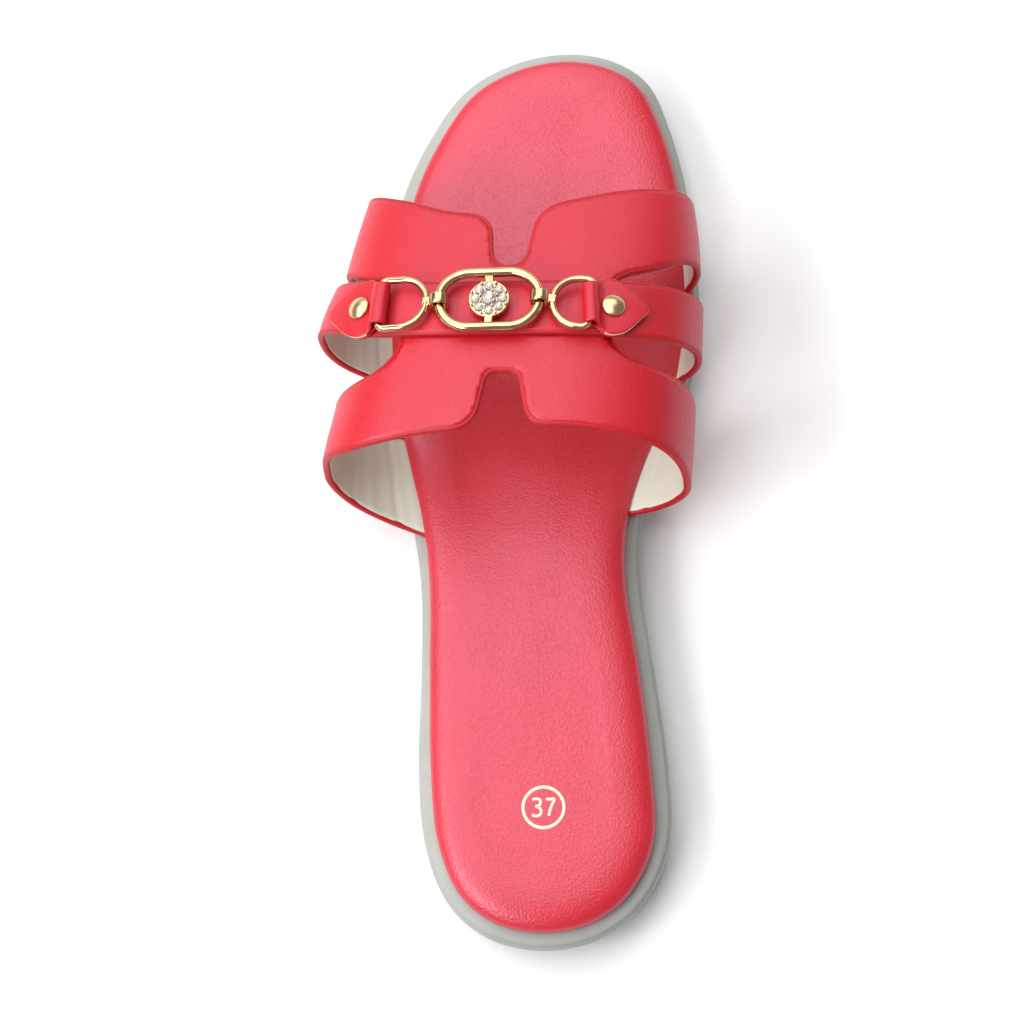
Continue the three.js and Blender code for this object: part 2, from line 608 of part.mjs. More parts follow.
/** Everything that one end of the chain needs to know: its frames on the strap. */
function chainEnd(side) {
  const loopOuter = RING.wire + TAB.play + TAB.leather;
  const barPoint = offCross(side.barAround, side.barStation, TAB.loopOver + loopOuter);
  const ovalEnd = new THREE.Vector3(side.sign * OVAL_REACH, 0, 0).applyMatrix4(ovalFrame);
  return { loopOuter, ring: linkFrame(barPoint, ovalEnd), reach: barPoint.distanceTo(ovalEnd) };
}

/** D-shaped ring, its bar on the frame's y axis, with a collar that closes round the oval link's end. */
function ring(side) {
  const end = chainEnd(side);
  const half = RING.width / 2;
  const inner = OVAL.wire + COLLAR.play;
  const outer = inner + COLLAR.wall;
  const tip = end.reach - outer - NECK.length; // middle of the wire at the round end
  const path = new THREE.Path()
    .moveTo(0, half - RING.corner)
    .lineTo(0, -half + RING.corner)
    .absarc(RING.corner, -half + RING.corner, RING.corner, Math.PI, 1.5 * Math.PI, false)
    .lineTo(tip - half, -half)
    .absarc(tip - half, 0, half, -Math.PI / 2, Math.PI / 2, false)
    .lineTo(RING.corner, half)
    .absarc(RING.corner, half - RING.corner, RING.corner, Math.PI / 2, Math.PI, false);
  const [low, high] = [-COLLAR.length / 2, COLLAR.length / 2];
  const collar = turned([[inner, low], [outer, low], [outer, high], [inner, high]], FACETS.collar);
  const seated = moved(collar.translate([side.sign * OVAL_REACH, 0, 0]), ovalFrame);
  const neckEnd = end.reach - outer + NECK.bite;
  const neck = block(neckEnd - tip, NECK.width, 2 * RING.wire, (tip + neckEnd) / 2);
  return moved(wireLoop(path, STEPS.ring, RING.wire).add(neck), end.ring).add(seated);
}

/** Way round the strap and station of a place on a tab, measured from the bar towards the tab's point. */
function tabPlace(side, along, across) {
  const share = along / TAB_PLAN.at(-1).along;
  return {
    around: side.barAround + (side.sign * along) / HALF_GIRTH,
    station: lerp(side.barStation, side.tipStation, share) + across,
  };
}

function rivetFrame(side) {
  const { around, station } = tabPlace(side, RIVET.along, 0);
  return strapFrame(around, station, TAB.over + TAB.thick + RIVET.over);
}

function rivetHole(side) {
  const radius = RIVET.shank + RIVET_HOLE.play;
  const [low, high] = [-RIVET_HOLE.below, RIVET_HOLE.above];
  const plug = turned([[0, low], [radius, low], [radius, high], [0, high]], FACETS.hole);
  return moved(plug.transform(upright.elements), rivetFrame(side));
}

/** Leather tab: two layers riveted to the strap, with a loop folded round the ring's bar. */
function tab(side) {
  const end = chainEnd(side);
  const halfAt = column(TAB_PLAN, "half", "along");
  const place = (along, share, face) => {
    const { around, station } = tabPlace(side, along, side.sign * share * halfAt(along));
    return offCross(around, station, TAB.over + face * TAB.thick);
  };
  const columns = spread(0, TAB_PLAN.at(-1).along, TAB_GRID.columns);
  const plate = sheet(columns, spread(-1, 1, TAB_GRID.rows), () => 1, place);
  const barRound = (radius, length) => {
    const cylinder = new THREE.CylinderGeometry(radius, radius, length, FACETS.loop);
    return moved(solidOf(cylinder), end.ring);
  };
  const loop = barRound(end.loopOuter, TAB.loopWidth);
  const barRoom = barRound(RING.wire + TAB.play, RING.width + 2 * RING.wire);
  return plate.add(loop).subtract(barRoom).subtract(rivetHole(side));
}

/** Rivet with a domed head, a shank through tab and strap, and a flat back under the leather. */
function rivet(side) {
  const leather = side.layers * LEATHER - (side.layers - 1) * JOIN;
  const under = -(RIVET.over + TAB.thick + TAB.over + leather + 2 * GAP); // level of the back's upper face
  const dome = spread(Math.PI / 2, 0, STEPS.dome).map((angle) => [
    RIVET.head * Math.sin(angle),
    RIVET.brim + RIVET.dome * Math.cos(angle),
  ]);
  const low = under - RIVET_BACK.thick;
  const back = [[0, low], [RIVET_BACK.radius, low], [RIVET_BACK.radius, under]];
  const shank = [[RIVET.shank, under], [RIVET.shank, 0], [RIVET.head, 0]];
  const body = turned([...back, ...shank, ...dome], FACETS.rivet).transform(upright.elements);
  return moved(body, rivetFrame(side));
}

function upper() {
  const holes = SIDES.map(rivetHole);
  return holes.reduce((leather, hole) => leather.subtract(hole), vamp().add(crossStrap()));
}

// Assembly

const sandal = new THREE.Group();

/** Adds a solid to the shoe as a named mesh. */
function addPiece(name, solid, finish) {
  const mesh = new THREE.Mesh(geometryOf(solid), new THREE.MeshStandardMaterial(COLOURS[finish]));
  mesh.name = name;
  sandal.add(mesh);
}

addPiece("outsole", outsole(), "rubber");
addPiece("footbed", footbed(), "red");
addPiece("upper", upper(), "red");
for (const side of SIDES) {
  addPiece(`tab_${side.name}`, tab(side), "red");
  addPiece(`rivet_${side.name}`, rivet(side), "gold");
  addPiece(`ring_${side.name}`, ring(side), "gold");
}
addPiece("oval_link", ovalLink(), "gold");
addPiece("stone_centre", stone(STONES.centre, 0, 0), "crystal");
for (let i = 0; i < STONES.petals; i++) {
  const angle = (2 * Math.PI * i) / STONES.petals;
  const [x, y] = [STONES.petalCircle * Math.cos(angle), STONES.petalCircle * Math.sin(angle)];
  addPiece(`stone_petal_${i + 1}`, stone(STONES.petal, x, y), "crystal");
}

// The origin is on the floor under the middle of the shoe's box
const middle = new THREE.Box3().setFromObject(sandal).getCenter(new THREE.Vector3());
sandal.children.forEach((piece) => piece.position.set(-middle.x, -middle.y, 0));

export default sandal;
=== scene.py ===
# %% [markdown]
# # A slide sandal
# A padded red footbed sits on a low rubber sole. Leather straps arch over it, and a chain of metal links
# lies on the middle strap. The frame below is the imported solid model, in metres. Every piece made here is
# drawn in millimetres in the shoemaker's own directions and then moved into that frame.

import bmesh
import bpy
import numpy as np
from mathutils import Matrix, Vector


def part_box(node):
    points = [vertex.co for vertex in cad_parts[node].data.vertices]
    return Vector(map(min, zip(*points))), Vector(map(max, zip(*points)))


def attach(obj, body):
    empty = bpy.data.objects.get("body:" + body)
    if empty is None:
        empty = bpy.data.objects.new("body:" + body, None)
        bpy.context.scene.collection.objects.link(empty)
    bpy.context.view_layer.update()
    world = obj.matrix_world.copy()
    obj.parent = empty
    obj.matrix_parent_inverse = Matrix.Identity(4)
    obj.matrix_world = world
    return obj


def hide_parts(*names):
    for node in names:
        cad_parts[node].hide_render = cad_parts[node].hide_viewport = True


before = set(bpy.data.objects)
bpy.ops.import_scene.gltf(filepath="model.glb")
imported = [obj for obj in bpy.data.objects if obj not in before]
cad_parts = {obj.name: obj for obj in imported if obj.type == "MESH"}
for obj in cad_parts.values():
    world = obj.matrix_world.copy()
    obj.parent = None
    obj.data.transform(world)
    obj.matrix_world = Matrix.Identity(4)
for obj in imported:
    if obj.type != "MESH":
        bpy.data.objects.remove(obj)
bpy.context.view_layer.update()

# %% [markdown]
# ## The camera
# The picture was taken from high up behind the heel, with a long lens. The camera is placed by a point that
# it looks at, a direction back to the lens and a distance, which is easier to adjust than three angles.

# %% Camera
VIEW = {
    "target": Vector((-0.00131, -0.00778, 0.012)),
    "back": Vector((0.0765, -0.2588, 0.9659)).normalized(),
    "distance": 0.8,
    "lens": 102.92,
    "clip_start": 0.01,
}


def look_matrix(eye, back):
    """Camera axes: z back to the lens, x level and square to the shoe's length, y up in the picture."""
    right = Vector((0, 1, 0)).cross(back).normalized()
    up = back.cross(right)
    matrix = Matrix((right, up, back)).transposed().to_4x4()
    matrix.translation = eye
    return matrix


camera_data = bpy.data.cameras.new("camera")
camera_data.lens = VIEW["lens"]
camera_data.clip_start = VIEW["clip_start"]
camera = bpy.data.objects.new("camera", camera_data)
camera.matrix_world = look_matrix(VIEW["target"] + VIEW["distance"] * VIEW["back"], VIEW["back"])
bpy.context.scene.collection.objects.link(camera)
bpy.context.scene.camera = camera
print("camera at", [round(value, 4) for value in camera.matrix_world.translation])

# %% [markdown]
# ## Shared tools
# A shape here is an array of points and an array of faces. Primitives and modifiers could start some of these
# shapes, but a formula on a grid can be changed by one number. The first helpers turn a table of sizes into a
# smooth curve.

# %% Curves
def smoothstep(value, low, high):
    """0 below low, 1 above high, and 3 t^2 - 2 t^3 between them."""
    share = np.clip((np.asarray(value, float) - low) / (high - low), 0, 1)
    return share * share * (3 - 2 * share)


def column(at, value):
    """Smooth curve through a table: a cubic in each span whose slopes come from the neighbouring rows."""
    at = np.asarray(at, float)
    value = np.asarray(value, float)
    last = len(at) - 1

    def curve(t):
        """Value at t, which is kept inside the table."""
        t = np.clip(np.asarray(t, float), at[0], at[-1])
        i = np.clip(np.searchsorted(at, t, side="right"), 1, last)
        before = np.where(i == 1, i, i - 2)
        after = np.where(i == last, i - 1, np.minimum(i + 1, last))
        span = at[i] - at[i - 1]
        w0 = span / 2 / (at[i - 1] - at[before])
        w1 = span / 2 / (at[after] - at[i])
        p = (t - at[i - 1]) / span
        p2 = p * p
        p3 = p2 * p
        return (
            value[before] * (-w0 * p3 + 2 * w0 * p2 - w0 * p)
            + value[i - 1] * ((1 + w0) * p3 - (1.5 + 2 * w0) * p2 + (w0 - 0.5) * p + 1)
            + value[i] * (-(1 + w1) * p3 + (1.5 + w1) * p2 + 0.5 * p)
            + value[after] * (w1 * p3 - w1 * p2)
        )

    return curve


def unit(vectors):
    """Vectors of length 1 in the same directions."""
    return vectors / np.linalg.norm(vectors, axis=-1, keepdims=True)


print("smooth step at its middle", float(smoothstep(0.5, 0, 1)))

# %% [markdown]
# A grid of points becomes quads, two faces become a closed wall, and several shapes become one. A closed
# shape that came out inside out is turned round by the sign of its volume, which is safer than to keep track
# of the turning sense of every formula.

# %% Grids and walls
def grid_quads(rows, columns, wrap_rows=False, wrap_columns=False):
    """Quads of a grid numbered row by row. A wrapped direction also joins its last line to its first."""
    i = np.arange(rows if wrap_rows else rows - 1)
    j = np.arange(columns if wrap_columns else columns - 1)
    i, j = (index.ravel() for index in np.meshgrid(i, j, indexing="ij"))
    i1, j1 = (i + 1) % rows, (j + 1) % columns
    return np.stack([i * columns + j, i1 * columns + j, i1 * columns + j1, i * columns + j1], axis=1)


def open_edges(quads):
    """Edges that only one quad uses."""
    count = quads.max() + 1
    edges = np.stack([quads, np.roll(quads, -1, axis=1)], axis=-1).reshape(-1, 2)
    forward = edges[:, 0] * count + edges[:, 1]
    backward = edges[:, 1] * count + edges[:, 0]
    return edges[~np.isin(forward, backward)]


def shell(outer, inner, quads):
    """Closed wall between two faces that share their quads. Open edges get a side wall."""
    used, quads = np.unique(quads, return_inverse=True)
    quads = quads.reshape(-1, 4)
    count = len(used)
    a, b = open_edges(quads).T
    walls = np.stack([b, a, a + count, b + count], axis=1)
    return np.concatenate([outer[used], inner[used]]), np.concatenate([quads, quads[:, ::-1] + count, walls])


def join(*parts):
    """Several (points, faces) shapes as one."""
    starts = np.cumsum([0] + [len(points) for points, _ in parts])
    faces = [corners + start for (_, corners), start in zip(parts, starts)]
    return np.concatenate([points for points, _ in parts]), np.concatenate(faces)


def volume(points, quads):
    """Signed volume: each quad is two triangles, and each makes a tetrahedron with the origin."""
    a, b, c, d = (points[quads[:, k]] for k in range(4))
    return (np.einsum("ij,ij->", a, np.cross(b, c)) + np.einsum("ij,ij->", a, np.cross(c, d))) / 6


def outward(shape):
    """The same closed shape with its faces turned to the outside."""
    points, quads = shape
    return (points, quads) if volume(points - points.mean(axis=0), quads) > 0 else (points, quads[:, ::-1])


print("a grid of 3 by 4 points has", len(grid_quads(3, 4)), "quads")

# %% [markdown]
# A finished shape goes into its mesh with foreach_set, which is much quicker than adding vertices one by one.
# Points that coincide are merged, so that seams and poles are closed. Then the piece is hung on the empty of
# its body, and the solids that it stands for are hidden.

# %% Adding a piece
MERGE = {"points": 1e-6, "edges": 1e-7}  # metres
pieces = {}


def add_piece(name, shape, stands_for=(), smooth=True):
    """New piece from points in the frame's metres and quads. Points that coincide are merged."""
    points, quads = shape
    mesh = bpy.data.meshes.new(name)
    mesh.vertices.add(len(points))
    mesh.vertices.foreach_set("co", np.ascontiguousarray(points, np.float32).ravel())
    mesh.loops.add(quads.size)
    mesh.loops.foreach_set("vertex_index", np.ascontiguousarray(quads, np.int32).ravel())
    mesh.polygons.add(len(quads))
    mesh.polygons.foreach_set("loop_start", np.arange(0, quads.size, 4, dtype=np.int32))
    mesh.update(calc_edges=True)
    work = bmesh.new()
    work.from_mesh(mesh)
    bmesh.ops.remove_doubles(work, verts=work.verts, dist=MERGE["points"])
    bmesh.ops.dissolve_degenerate(work, edges=work.edges, dist=MERGE["edges"])
    work.to_mesh(mesh)
    work.free()
    mesh.polygons.foreach_set("use_smooth", np.full(len(mesh.polygons), smooth))
    piece = bpy.data.objects.new(name, mesh)
    bpy.context.scene.collection.objects.link(piece)
    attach(piece, "root")
    if stands_for:
        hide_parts(*stands_for)
    pieces[name] = piece
    print(name, len(mesh.vertices), "points", len(mesh.polygons), "faces")
    return piece


print("no piece yet", pieces)

# %% [markdown]
# ## Outline of the sole
# Sole and footbed share one outline. Its tables give the lateral and the medial edge at stations from heel
# to toe. A curve object could be drawn round the sole by hand, but the footbed could not follow it by number.
# The stations are read through an angle, so that points crowd together round heel and toe, where the edge
# turns.

# %% Outline
LENGTH = 254.0  # outsole, heel to toe
OUTLINE = np.array([  # station, lateral, medial, lateral rim, medial rim
    (0, 0.5, 0.5, 4, 4), (3, -14, 15, 4, 4), (12, -25, 26.5, 4, 4), (28, -31.5, 33.5, 4, 4),
    (48, -33.5, 33.5, 4, 4.5), (75, -33, 30, 3, 4), (101, -33.5, 26.5, 3, 4), (117, -36, 27, 3.5, 3.5),
    (130, -39.5, 30.5, 4, 3), (151, -44, 39.5, 4, 2.5), (171, -45.5, 43.5, 4, 2), (193, -44, 43, 4.5, 2),
    (214, -39.5, 40.5, 4.5, 2.5), (232, -31, 36, 4.5, 3), (245, -20.5, 30, 4.5, 4),
    (251.5, -8, 20.5, 4.5, 4.5), (LENGTH, 7, 7, 4.5, 4.5),
])
HEIGHTS = np.array([  # station, rim, tread
    (0, 14, 1.5), (9, 14, 0), (64, 13.4, 0), (78, 12.9, 1.2), (98, 12.1, 2.6), (118, 11.1, 1.2),
    (132, 10.4, 0), (160, 9.3, 0), (200, 9.2, 0), (228, 10.7, 1.7), (LENGTH, 14, 6.5),
])


def turn_of(station):
    """Angle whose cosine runs from 1 at the heel to -1 at the toe."""
    return np.arccos(np.clip(1 - 2 * np.asarray(station, float) / LENGTH, -1, 1))


lateral_curve, medial_curve, lateral_rim, medial_rim = (
    column(turn_of(OUTLINE[:, 0]), OUTLINE[:, k]) for k in range(1, 5)
)
rim_at = column(HEIGHTS[:, 0], HEIGHTS[:, 1])
tread_curve = column(HEIGHTS[:, 0], HEIGHTS[:, 2])


def tread_at(station):
    """Height of the underside, never below the floor."""
    return np.maximum(tread_curve(station), 0)


def side_at(sign, station):
    """x of the outline on one side, -1 lateral or 1 medial."""
    return np.where(np.asarray(sign) < 0, lateral_curve(turn_of(station)), medial_curve(turn_of(station)))


def footbed_inset(sign, station):
    """Width of the rim that shows beside the footbed."""
    return np.where(np.asarray(sign) < 0, lateral_rim(turn_of(station)), medial_rim(turn_of(station)))


print("outline", len(OUTLINE), "stations, rim", float(rim_at(0)), "mm high at the heel")

# %% [markdown]
# The outline becomes a closed ring of points, with the direction inwards at each of them. Moved inwards and
# upwards, the same ring gives every level of sole and footbed. Scaling it about its centre would be simpler,
# but the rim would then be wider at the toe than at the sides.

# %% Rings
SPINE = (32.0, 214.0)  # stations of the middle line that the flat faces close on
RING_STEPS = 240  # points along each side
ring_step = np.arange(2 * RING_STEPS)
ring_sign = np.where(ring_step <= RING_STEPS, 1, -1)
ring_angle = np.pi * np.where(ring_sign > 0, ring_step, 2 * RING_STEPS - ring_step) / RING_STEPS
ring_station = LENGTH / 2 * (1 - np.cos(ring_angle))
ring = np.stack([side_at(ring_sign, ring_station), ring_station], axis=1)
ring_way = unit(np.roll(ring, -1, axis=0) - np.roll(ring, 1, axis=0))
ring_inward = np.stack([-ring_way[:, 1], ring_way[:, 0]], axis=1)
ring_spine = np.clip(ring_station, *SPINE)
ring_middle = np.stack([(side_at(-1, ring_spine) + side_at(1, ring_spine)) / 2, ring_spine], axis=1)

# the frame's x is measured from the middle of the whole shoe
MIDDLE = np.array([ring[:, 0].min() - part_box("outsole")[0][0] * 1000, LENGTH / 2, 0])


def to_frame(points):
    """Shoemaker's millimetres to the frame's metres."""
    return (np.asarray(points).reshape(-1, 3) - MIDDLE) / 1000


def inset_ring(inset):
    """The outline moved inwards by inset, one number or one for each point, as (x, station)."""
    return ring + ring_inward * np.broadcast_to(inset, ring_station.shape)[:, None]


def raise_ring(flat, height):
    """(x, station) points with a height added."""
    return np.concatenate([flat, np.broadcast_to(height, ring_station.shape)[:, None]], axis=1)


print("middle of the shoe at x", round(float(MIDDLE[0]), 2), "mm from the heel's centre line")

# %% [markdown]
# ## Outsole
# The moulded sole is a stack of rings: the tread, a wall that leans out, a rib, a narrow groove and the
# flange on which the footbed lies. Extrude and Bevel on the outline would do much the same. A table of the
# profile is chosen because all its corners can be cut twice, which rounds them evenly. The underside closes
# on the middle line and carries wavy grooves under heel and ball.

# %% Outsole
SOLE_PROFILE = np.array([  # inset, share of the way from tread to rim, height added
    (2.6, 0, 0), (1.6, 0, 0.9), (0.5, 1, -5.6), (0, 1, -4.9), (0, 1, -2.7), (0.3, 1, -2.2), (0.9, 1, -1.9),
    (0.9, 1, -0.4), (1.4, 1, 0),
])
GROOVES = {"pitch": 9.0, "wave": 2.4, "wave_length": 20.0, "depth": 1.5, "fade": 1.5}
GROOVE_SHARES = {"width": 0.5, "foot": 0.35, "lip": 0.65}  # of the pitch, and of that width
GROOVE_BORDER = {"from": 7.0, "to": 8.2}  # plain strip along the edge
GROOVE_ZONES = ((11.0, 70.0), (128.0, 226.0))  # stations under heel and ball
UNDERSIDE_LEVELS = 44
FLANGE_SHARES = (0.15, 0.5, 1)  # of the way from the rim to the middle line


def cut_corners(rows):
    """Each span keeps its middle half, so that every corner becomes a short chamfer. The ends stay."""
    near = 0.75 * rows[:-1] + 0.25 * rows[1:]
    far = 0.25 * rows[:-1] + 0.75 * rows[1:]
    middle = np.stack([near, far], axis=1).reshape(-1, rows.shape[1])
    return np.concatenate([rows[:1], middle, rows[-1:]])


def groove_depth(x, station, inset):
    """Depth of the wavy cross grooves: a rounded trench where the phase is near a whole number."""
    phase = (station + GROOVES["wave"] * np.cos(2 * np.pi * x / GROOVES["wave_length"])) / GROOVES["pitch"]
    from_trench = np.abs(phase - np.round(phase)) / GROOVE_SHARES["width"]
    trench = 1 - smoothstep(from_trench, GROOVE_SHARES["foot"], GROOVE_SHARES["lip"])
    fade = GROOVES["fade"]
    zones = sum(
        smoothstep(station, low, low + fade) * (1 - smoothstep(station, high - fade, high))
        for low, high in GROOVE_ZONES
    )
    inside = smoothstep(inset, GROOVE_BORDER["from"], GROOVE_BORDER["to"])
    return GROOVES["depth"] * trench * zones * inside


def ring_grid(rings):
    """Closed shape from rings of equal length, from the lowest to the highest."""
    points = np.stack(rings)
    return points.reshape(-1, 3), grid_quads(points.shape[0], points.shape[1], wrap_columns=True)


def to_spine(flat, share):
    """A ring drawn in to the middle line, 1 for all the way."""
    return flat + (ring_middle - flat) * share


print("tread", round(float(groove_depth(0.0, 50.0, 20.0)), 2), "mm deep at one place under the heel")

# %% [markdown]
# The wall follows the profile, the underside runs in to the middle line level by level, and the flange closes
# the top under the footbed.

# %% Rings of the sole
sole_rows = cut_corners(cut_corners(SOLE_PROFILE))
sole_wall = []
for inset, share, added in sole_rows:
    flat = inset_ring(inset)
    height = tread_at(flat[:, 1]) * (1 - share) + rim_at(flat[:, 1]) * share + added
    sole_wall.append(raise_ring(flat, height))
sole_under = []
tread_ring = inset_ring(SOLE_PROFILE[0, 0])
for share in np.linspace(1, 0, UNDERSIDE_LEVELS)[:-1]:
    flat = to_spine(tread_ring, share)
    inset = SOLE_PROFILE[0, 0] + share * np.linalg.norm(ring_middle - tread_ring, axis=1)
    height = tread_at(flat[:, 1]) + groove_depth(flat[:, 0], flat[:, 1], inset)
    sole_under.append(raise_ring(flat, height))
sole_top = []
for share in FLANGE_SHARES:
    flat = to_spine(sole_wall[-1][:, :2], share)
    sole_top.append(raise_ring(flat, rim_at(flat[:, 1])))
points, quads = ring_grid(sole_under + sole_wall + sole_top)
add_piece("sole", outward((to_frame(points), quads)), ["outsole"])

# %% [markdown]
# ## The last
# Straps take the shape of a last, the wooden foot that they are pulled over. Here it is an arch at every
# station: an upper half like a squarish ellipse and a lower half that curls in under the footbed. A sculpted
# foot with Shrinkwrap would also serve, but its straps could not be placed by measure. The surface is worked
# out once on a fine table. Every strap then looks up its points by the way round the arch, from -1 at the
# lateral sole to 1 at the medial sole, and by the station.

# %% Last
GAP = 0.3  # between pieces that lie on each other
TUCK = 3.5  # from the footbed's edge in to the straps' feet
HALF_GIRTH = 92.0  # length that one unit of the way round stands for
TUCKED_END = 6.0  # flat end of a strap under the footbed
STRAP_END = 1 + TUCKED_END / HALF_GIRTH
ARCH = np.array([  # station, lateral x and z, crown x and z, medial x and z
    (101, -56, 32, -7, 67.5, 39, 32), (124, -57, 33, -7, 66, 41.5, 33), (146, -53, 32, -6.5, 63.5, 43, 32),
    (166, -54, 30, -6, 59, 44, 30), (185, -51, 28, -5, 53, 44.5, 28), (210, -44.5, 26, -3.5, 44.5, 42, 26),
])
ARCH_POWER = 2.8
LEG_POWER = 1.7
ARCH_STEPS = 160
LAST_AROUND = np.linspace(-1.1, 1.1, 881)
LAST_STATION = np.linspace(96, 218, 245)
arch_at = [column(ARCH[:, 0], ARCH[:, k]) for k in range(1, 7)]


def arch_side(sign, station):
    """One side of the arch as (x, z), crown to foot: two superellipse quarters, the lower straighter."""
    lateral_x, lateral_z, crown_x, crown_z, medial_x, medial_z = (curve(station) for curve in arch_at)
    wide_x, wide_z = (lateral_x, lateral_z) if sign < 0 else (medial_x, medial_z)
    foot_x = side_at(sign, station) - sign * (footbed_inset(sign, station) + TUCK)
    foot_z = rim_at(station) + GAP
    angle = np.linspace(0, np.pi / 2, ARCH_STEPS + 1)
    across, up = np.sin(angle) ** (2 / ARCH_POWER), np.cos(angle).clip(0) ** (2 / ARCH_POWER)
    high = np.stack([crown_x + (wide_x - crown_x) * across, wide_z + (crown_z - wide_z) * up], axis=1)
    out, down = np.cos(angle).clip(0) ** (2 / LEG_POWER), np.sin(angle) ** (2 / LEG_POWER)
    low = np.stack([foot_x + (wide_x - foot_x) * out, wide_z - (wide_z - foot_z) * down], axis=1)
    return np.concatenate([high, low[1:]])


def arch_points(station):
    """Points of the whole arch at LAST_AROUND, spaced evenly by length, with flat ends under the footbed."""
    points = np.zeros((len(LAST_AROUND), 3))
    points[:, 1] = station
    for sign in (-1, 1):
        side = arch_side(sign, station)
        length = np.concatenate([[0], np.cumsum(np.linalg.norm(np.diff(side, axis=0), axis=1))])
        chosen = LAST_AROUND * sign >= 0
        share = np.abs(LAST_AROUND[chosen])
        along = np.minimum(share, 1) * length[-1]
        beyond = np.maximum(share - 1, 0) * HALF_GIRTH
        points[chosen, 0] = np.interp(along, length, side[:, 0]) - sign * beyond
        points[chosen, 2] = np.interp(along, length, side[:, 1])
    return points


last_table = np.stack([arch_points(station) for station in LAST_STATION], axis=1)
print("last", last_table.shape, "highest", round(float(last_table[..., 2].max()), 1), "mm")

# %% [markdown]
# Between the table's points, places and normals are weighted by nearness. Rays cast at a mesh would also find
# them, but the table gives whole arrays at once, and the same answer to straps, tabs and rivets.

# %% Surface of the last
def table_normals(table, step_around=5, step_station=2):
    """Outward normals of the table: cross product of its two directions, from points a few steps apart."""
    i, j = np.arange(table.shape[0]), np.arange(table.shape[1])
    i0, i1 = np.maximum(i - step_around, 0), np.minimum(i + step_around, i[-1])
    j0, j1 = np.maximum(j - step_station, 0), np.minimum(j + step_station, j[-1])
    return unit(np.cross(table[i1] - table[i0], table[:, j1] - table[:, j0]))


last_normals = table_normals(last_table)


def look_up(table, around, station):
    """Values of the table between its points, weighted by nearness in both directions."""
    u = (np.asarray(around, float) - LAST_AROUND[0]) / (LAST_AROUND[1] - LAST_AROUND[0])
    v = (np.asarray(station, float) - LAST_STATION[0]) / (LAST_STATION[1] - LAST_STATION[0])
    i = np.clip(u.astype(int), 0, table.shape[0] - 2)
    j = np.clip(v.astype(int), 0, table.shape[1] - 2)
    p, q = (u - i)[..., None], (v - j)[..., None]
    low = table[i, j] * (1 - p) + table[i + 1, j] * p
    high = table[i, j + 1] * (1 - p) + table[i + 1, j + 1] * p
    return low * (1 - q) + high * q


def last_normal(around, station):
    """Outward normal of the last."""
    return unit(look_up(last_normals, around, station))


def off_last(around, station, out):
    """Point at a distance out from the last."""
    return look_up(last_table, around, station) + last_normal(around, station) * np.asarray(out)[..., None]


print("normal at the crown", last_normal(np.zeros(1), np.full(1, LAST_STATION.mean())).round(2))

# %% [markdown]
# ## Edges of the straps
# The vamp is one hide with a slot in each side and a notch at the crown of its front and back edges. A
# Boolean could cut them like a knife, but it leaves ragged faces. So a number says how far inside the leather
# a point of the flat pattern lies, and the pattern's edge is where it is zero.

# %% Pattern
LEATHER = 2.0  # hide and lining together
JOIN = 0.25  # how far the cross strap sinks into the vamp
VAMP_EDGES = np.array([  # around, front, front strap's back, back strap's front, back
    (-1.1, 201, 180, 140.5, 107.5), (-0.8, 203, 180.5, 141, 118), (-0.6, 203, 179, 142, 125),
    (-0.4, 198.5, 173, 145, 124.5), (-0.2, 193, 170, 151, 126.5), (0, 192, 169.5, 153.5, 127.5),
    (0.2, 196, 169.5, 151.5, 127.5), (0.4, 199.5, 173, 146.5, 124.5), (0.6, 201, 179, 142.5, 119.5),
    (0.8, 199.5, 180.5, 139, 117.5), (1.1, 197.5, 180, 138, 117),
])
CROSS_EDGES = np.array([  # around, front, back
    (-1.1, 169.5, 152), (-0.8, 173.5, 158), (-0.6, 175.5, 161.5), (-0.4, 172, 155.5), (-0.2, 169.5, 153.5),
    (0, 169, 153), (0.6, 169, 153), (1.1, 169.5, 155),
])
front_at, front_back_at, back_front_at, back_at = (
    column(VAMP_EDGES[:, 0], VAMP_EDGES[:, k]) for k in range(1, 5)
)
cross_front_at, cross_back_at = (column(CROSS_EDGES[:, 0], CROSS_EDGES[:, k]) for k in (1, 2))
WEB_HALF = 27.0  # half of the web that joins the two straps of the vamp
SLOT_ROUND = 9.5
FRONT_NOTCH = {"end": 175.0, "half": 4.0, "flare": 0.15, "round": 5.0, "lip": 7.0}
BACK_NOTCH = {"end": 143.0, "half": 3.75, "flare": 0.15, "round": 2.5, "lip": 6.0}
CROSS_LEG = (0.55, 0.93)  # ways round between which the cross strap comes down to the vamp's level
CROSS_BULGE = {"out": 3.6, "around": -0.64, "spread": 0.18, "leaves": 0.8, "seated": 0.95}
END_SIDE = STRAP_END * HALF_GIRTH


def rounded_min(a, b, width):
    """The smaller of two values, with the corner between them rounded."""
    near = np.maximum(width - np.abs(a - b), 0) / width
    return np.minimum(a, b) - near * near * width / 4


def inside_notch(notch, side, depth):
    """How far inside a notch a point lies, with depth measured from its closed end."""
    wall = notch["half"] + notch["flare"] * np.maximum(depth, 0) - np.abs(side)
    return rounded_min(wall, depth, notch["round"])


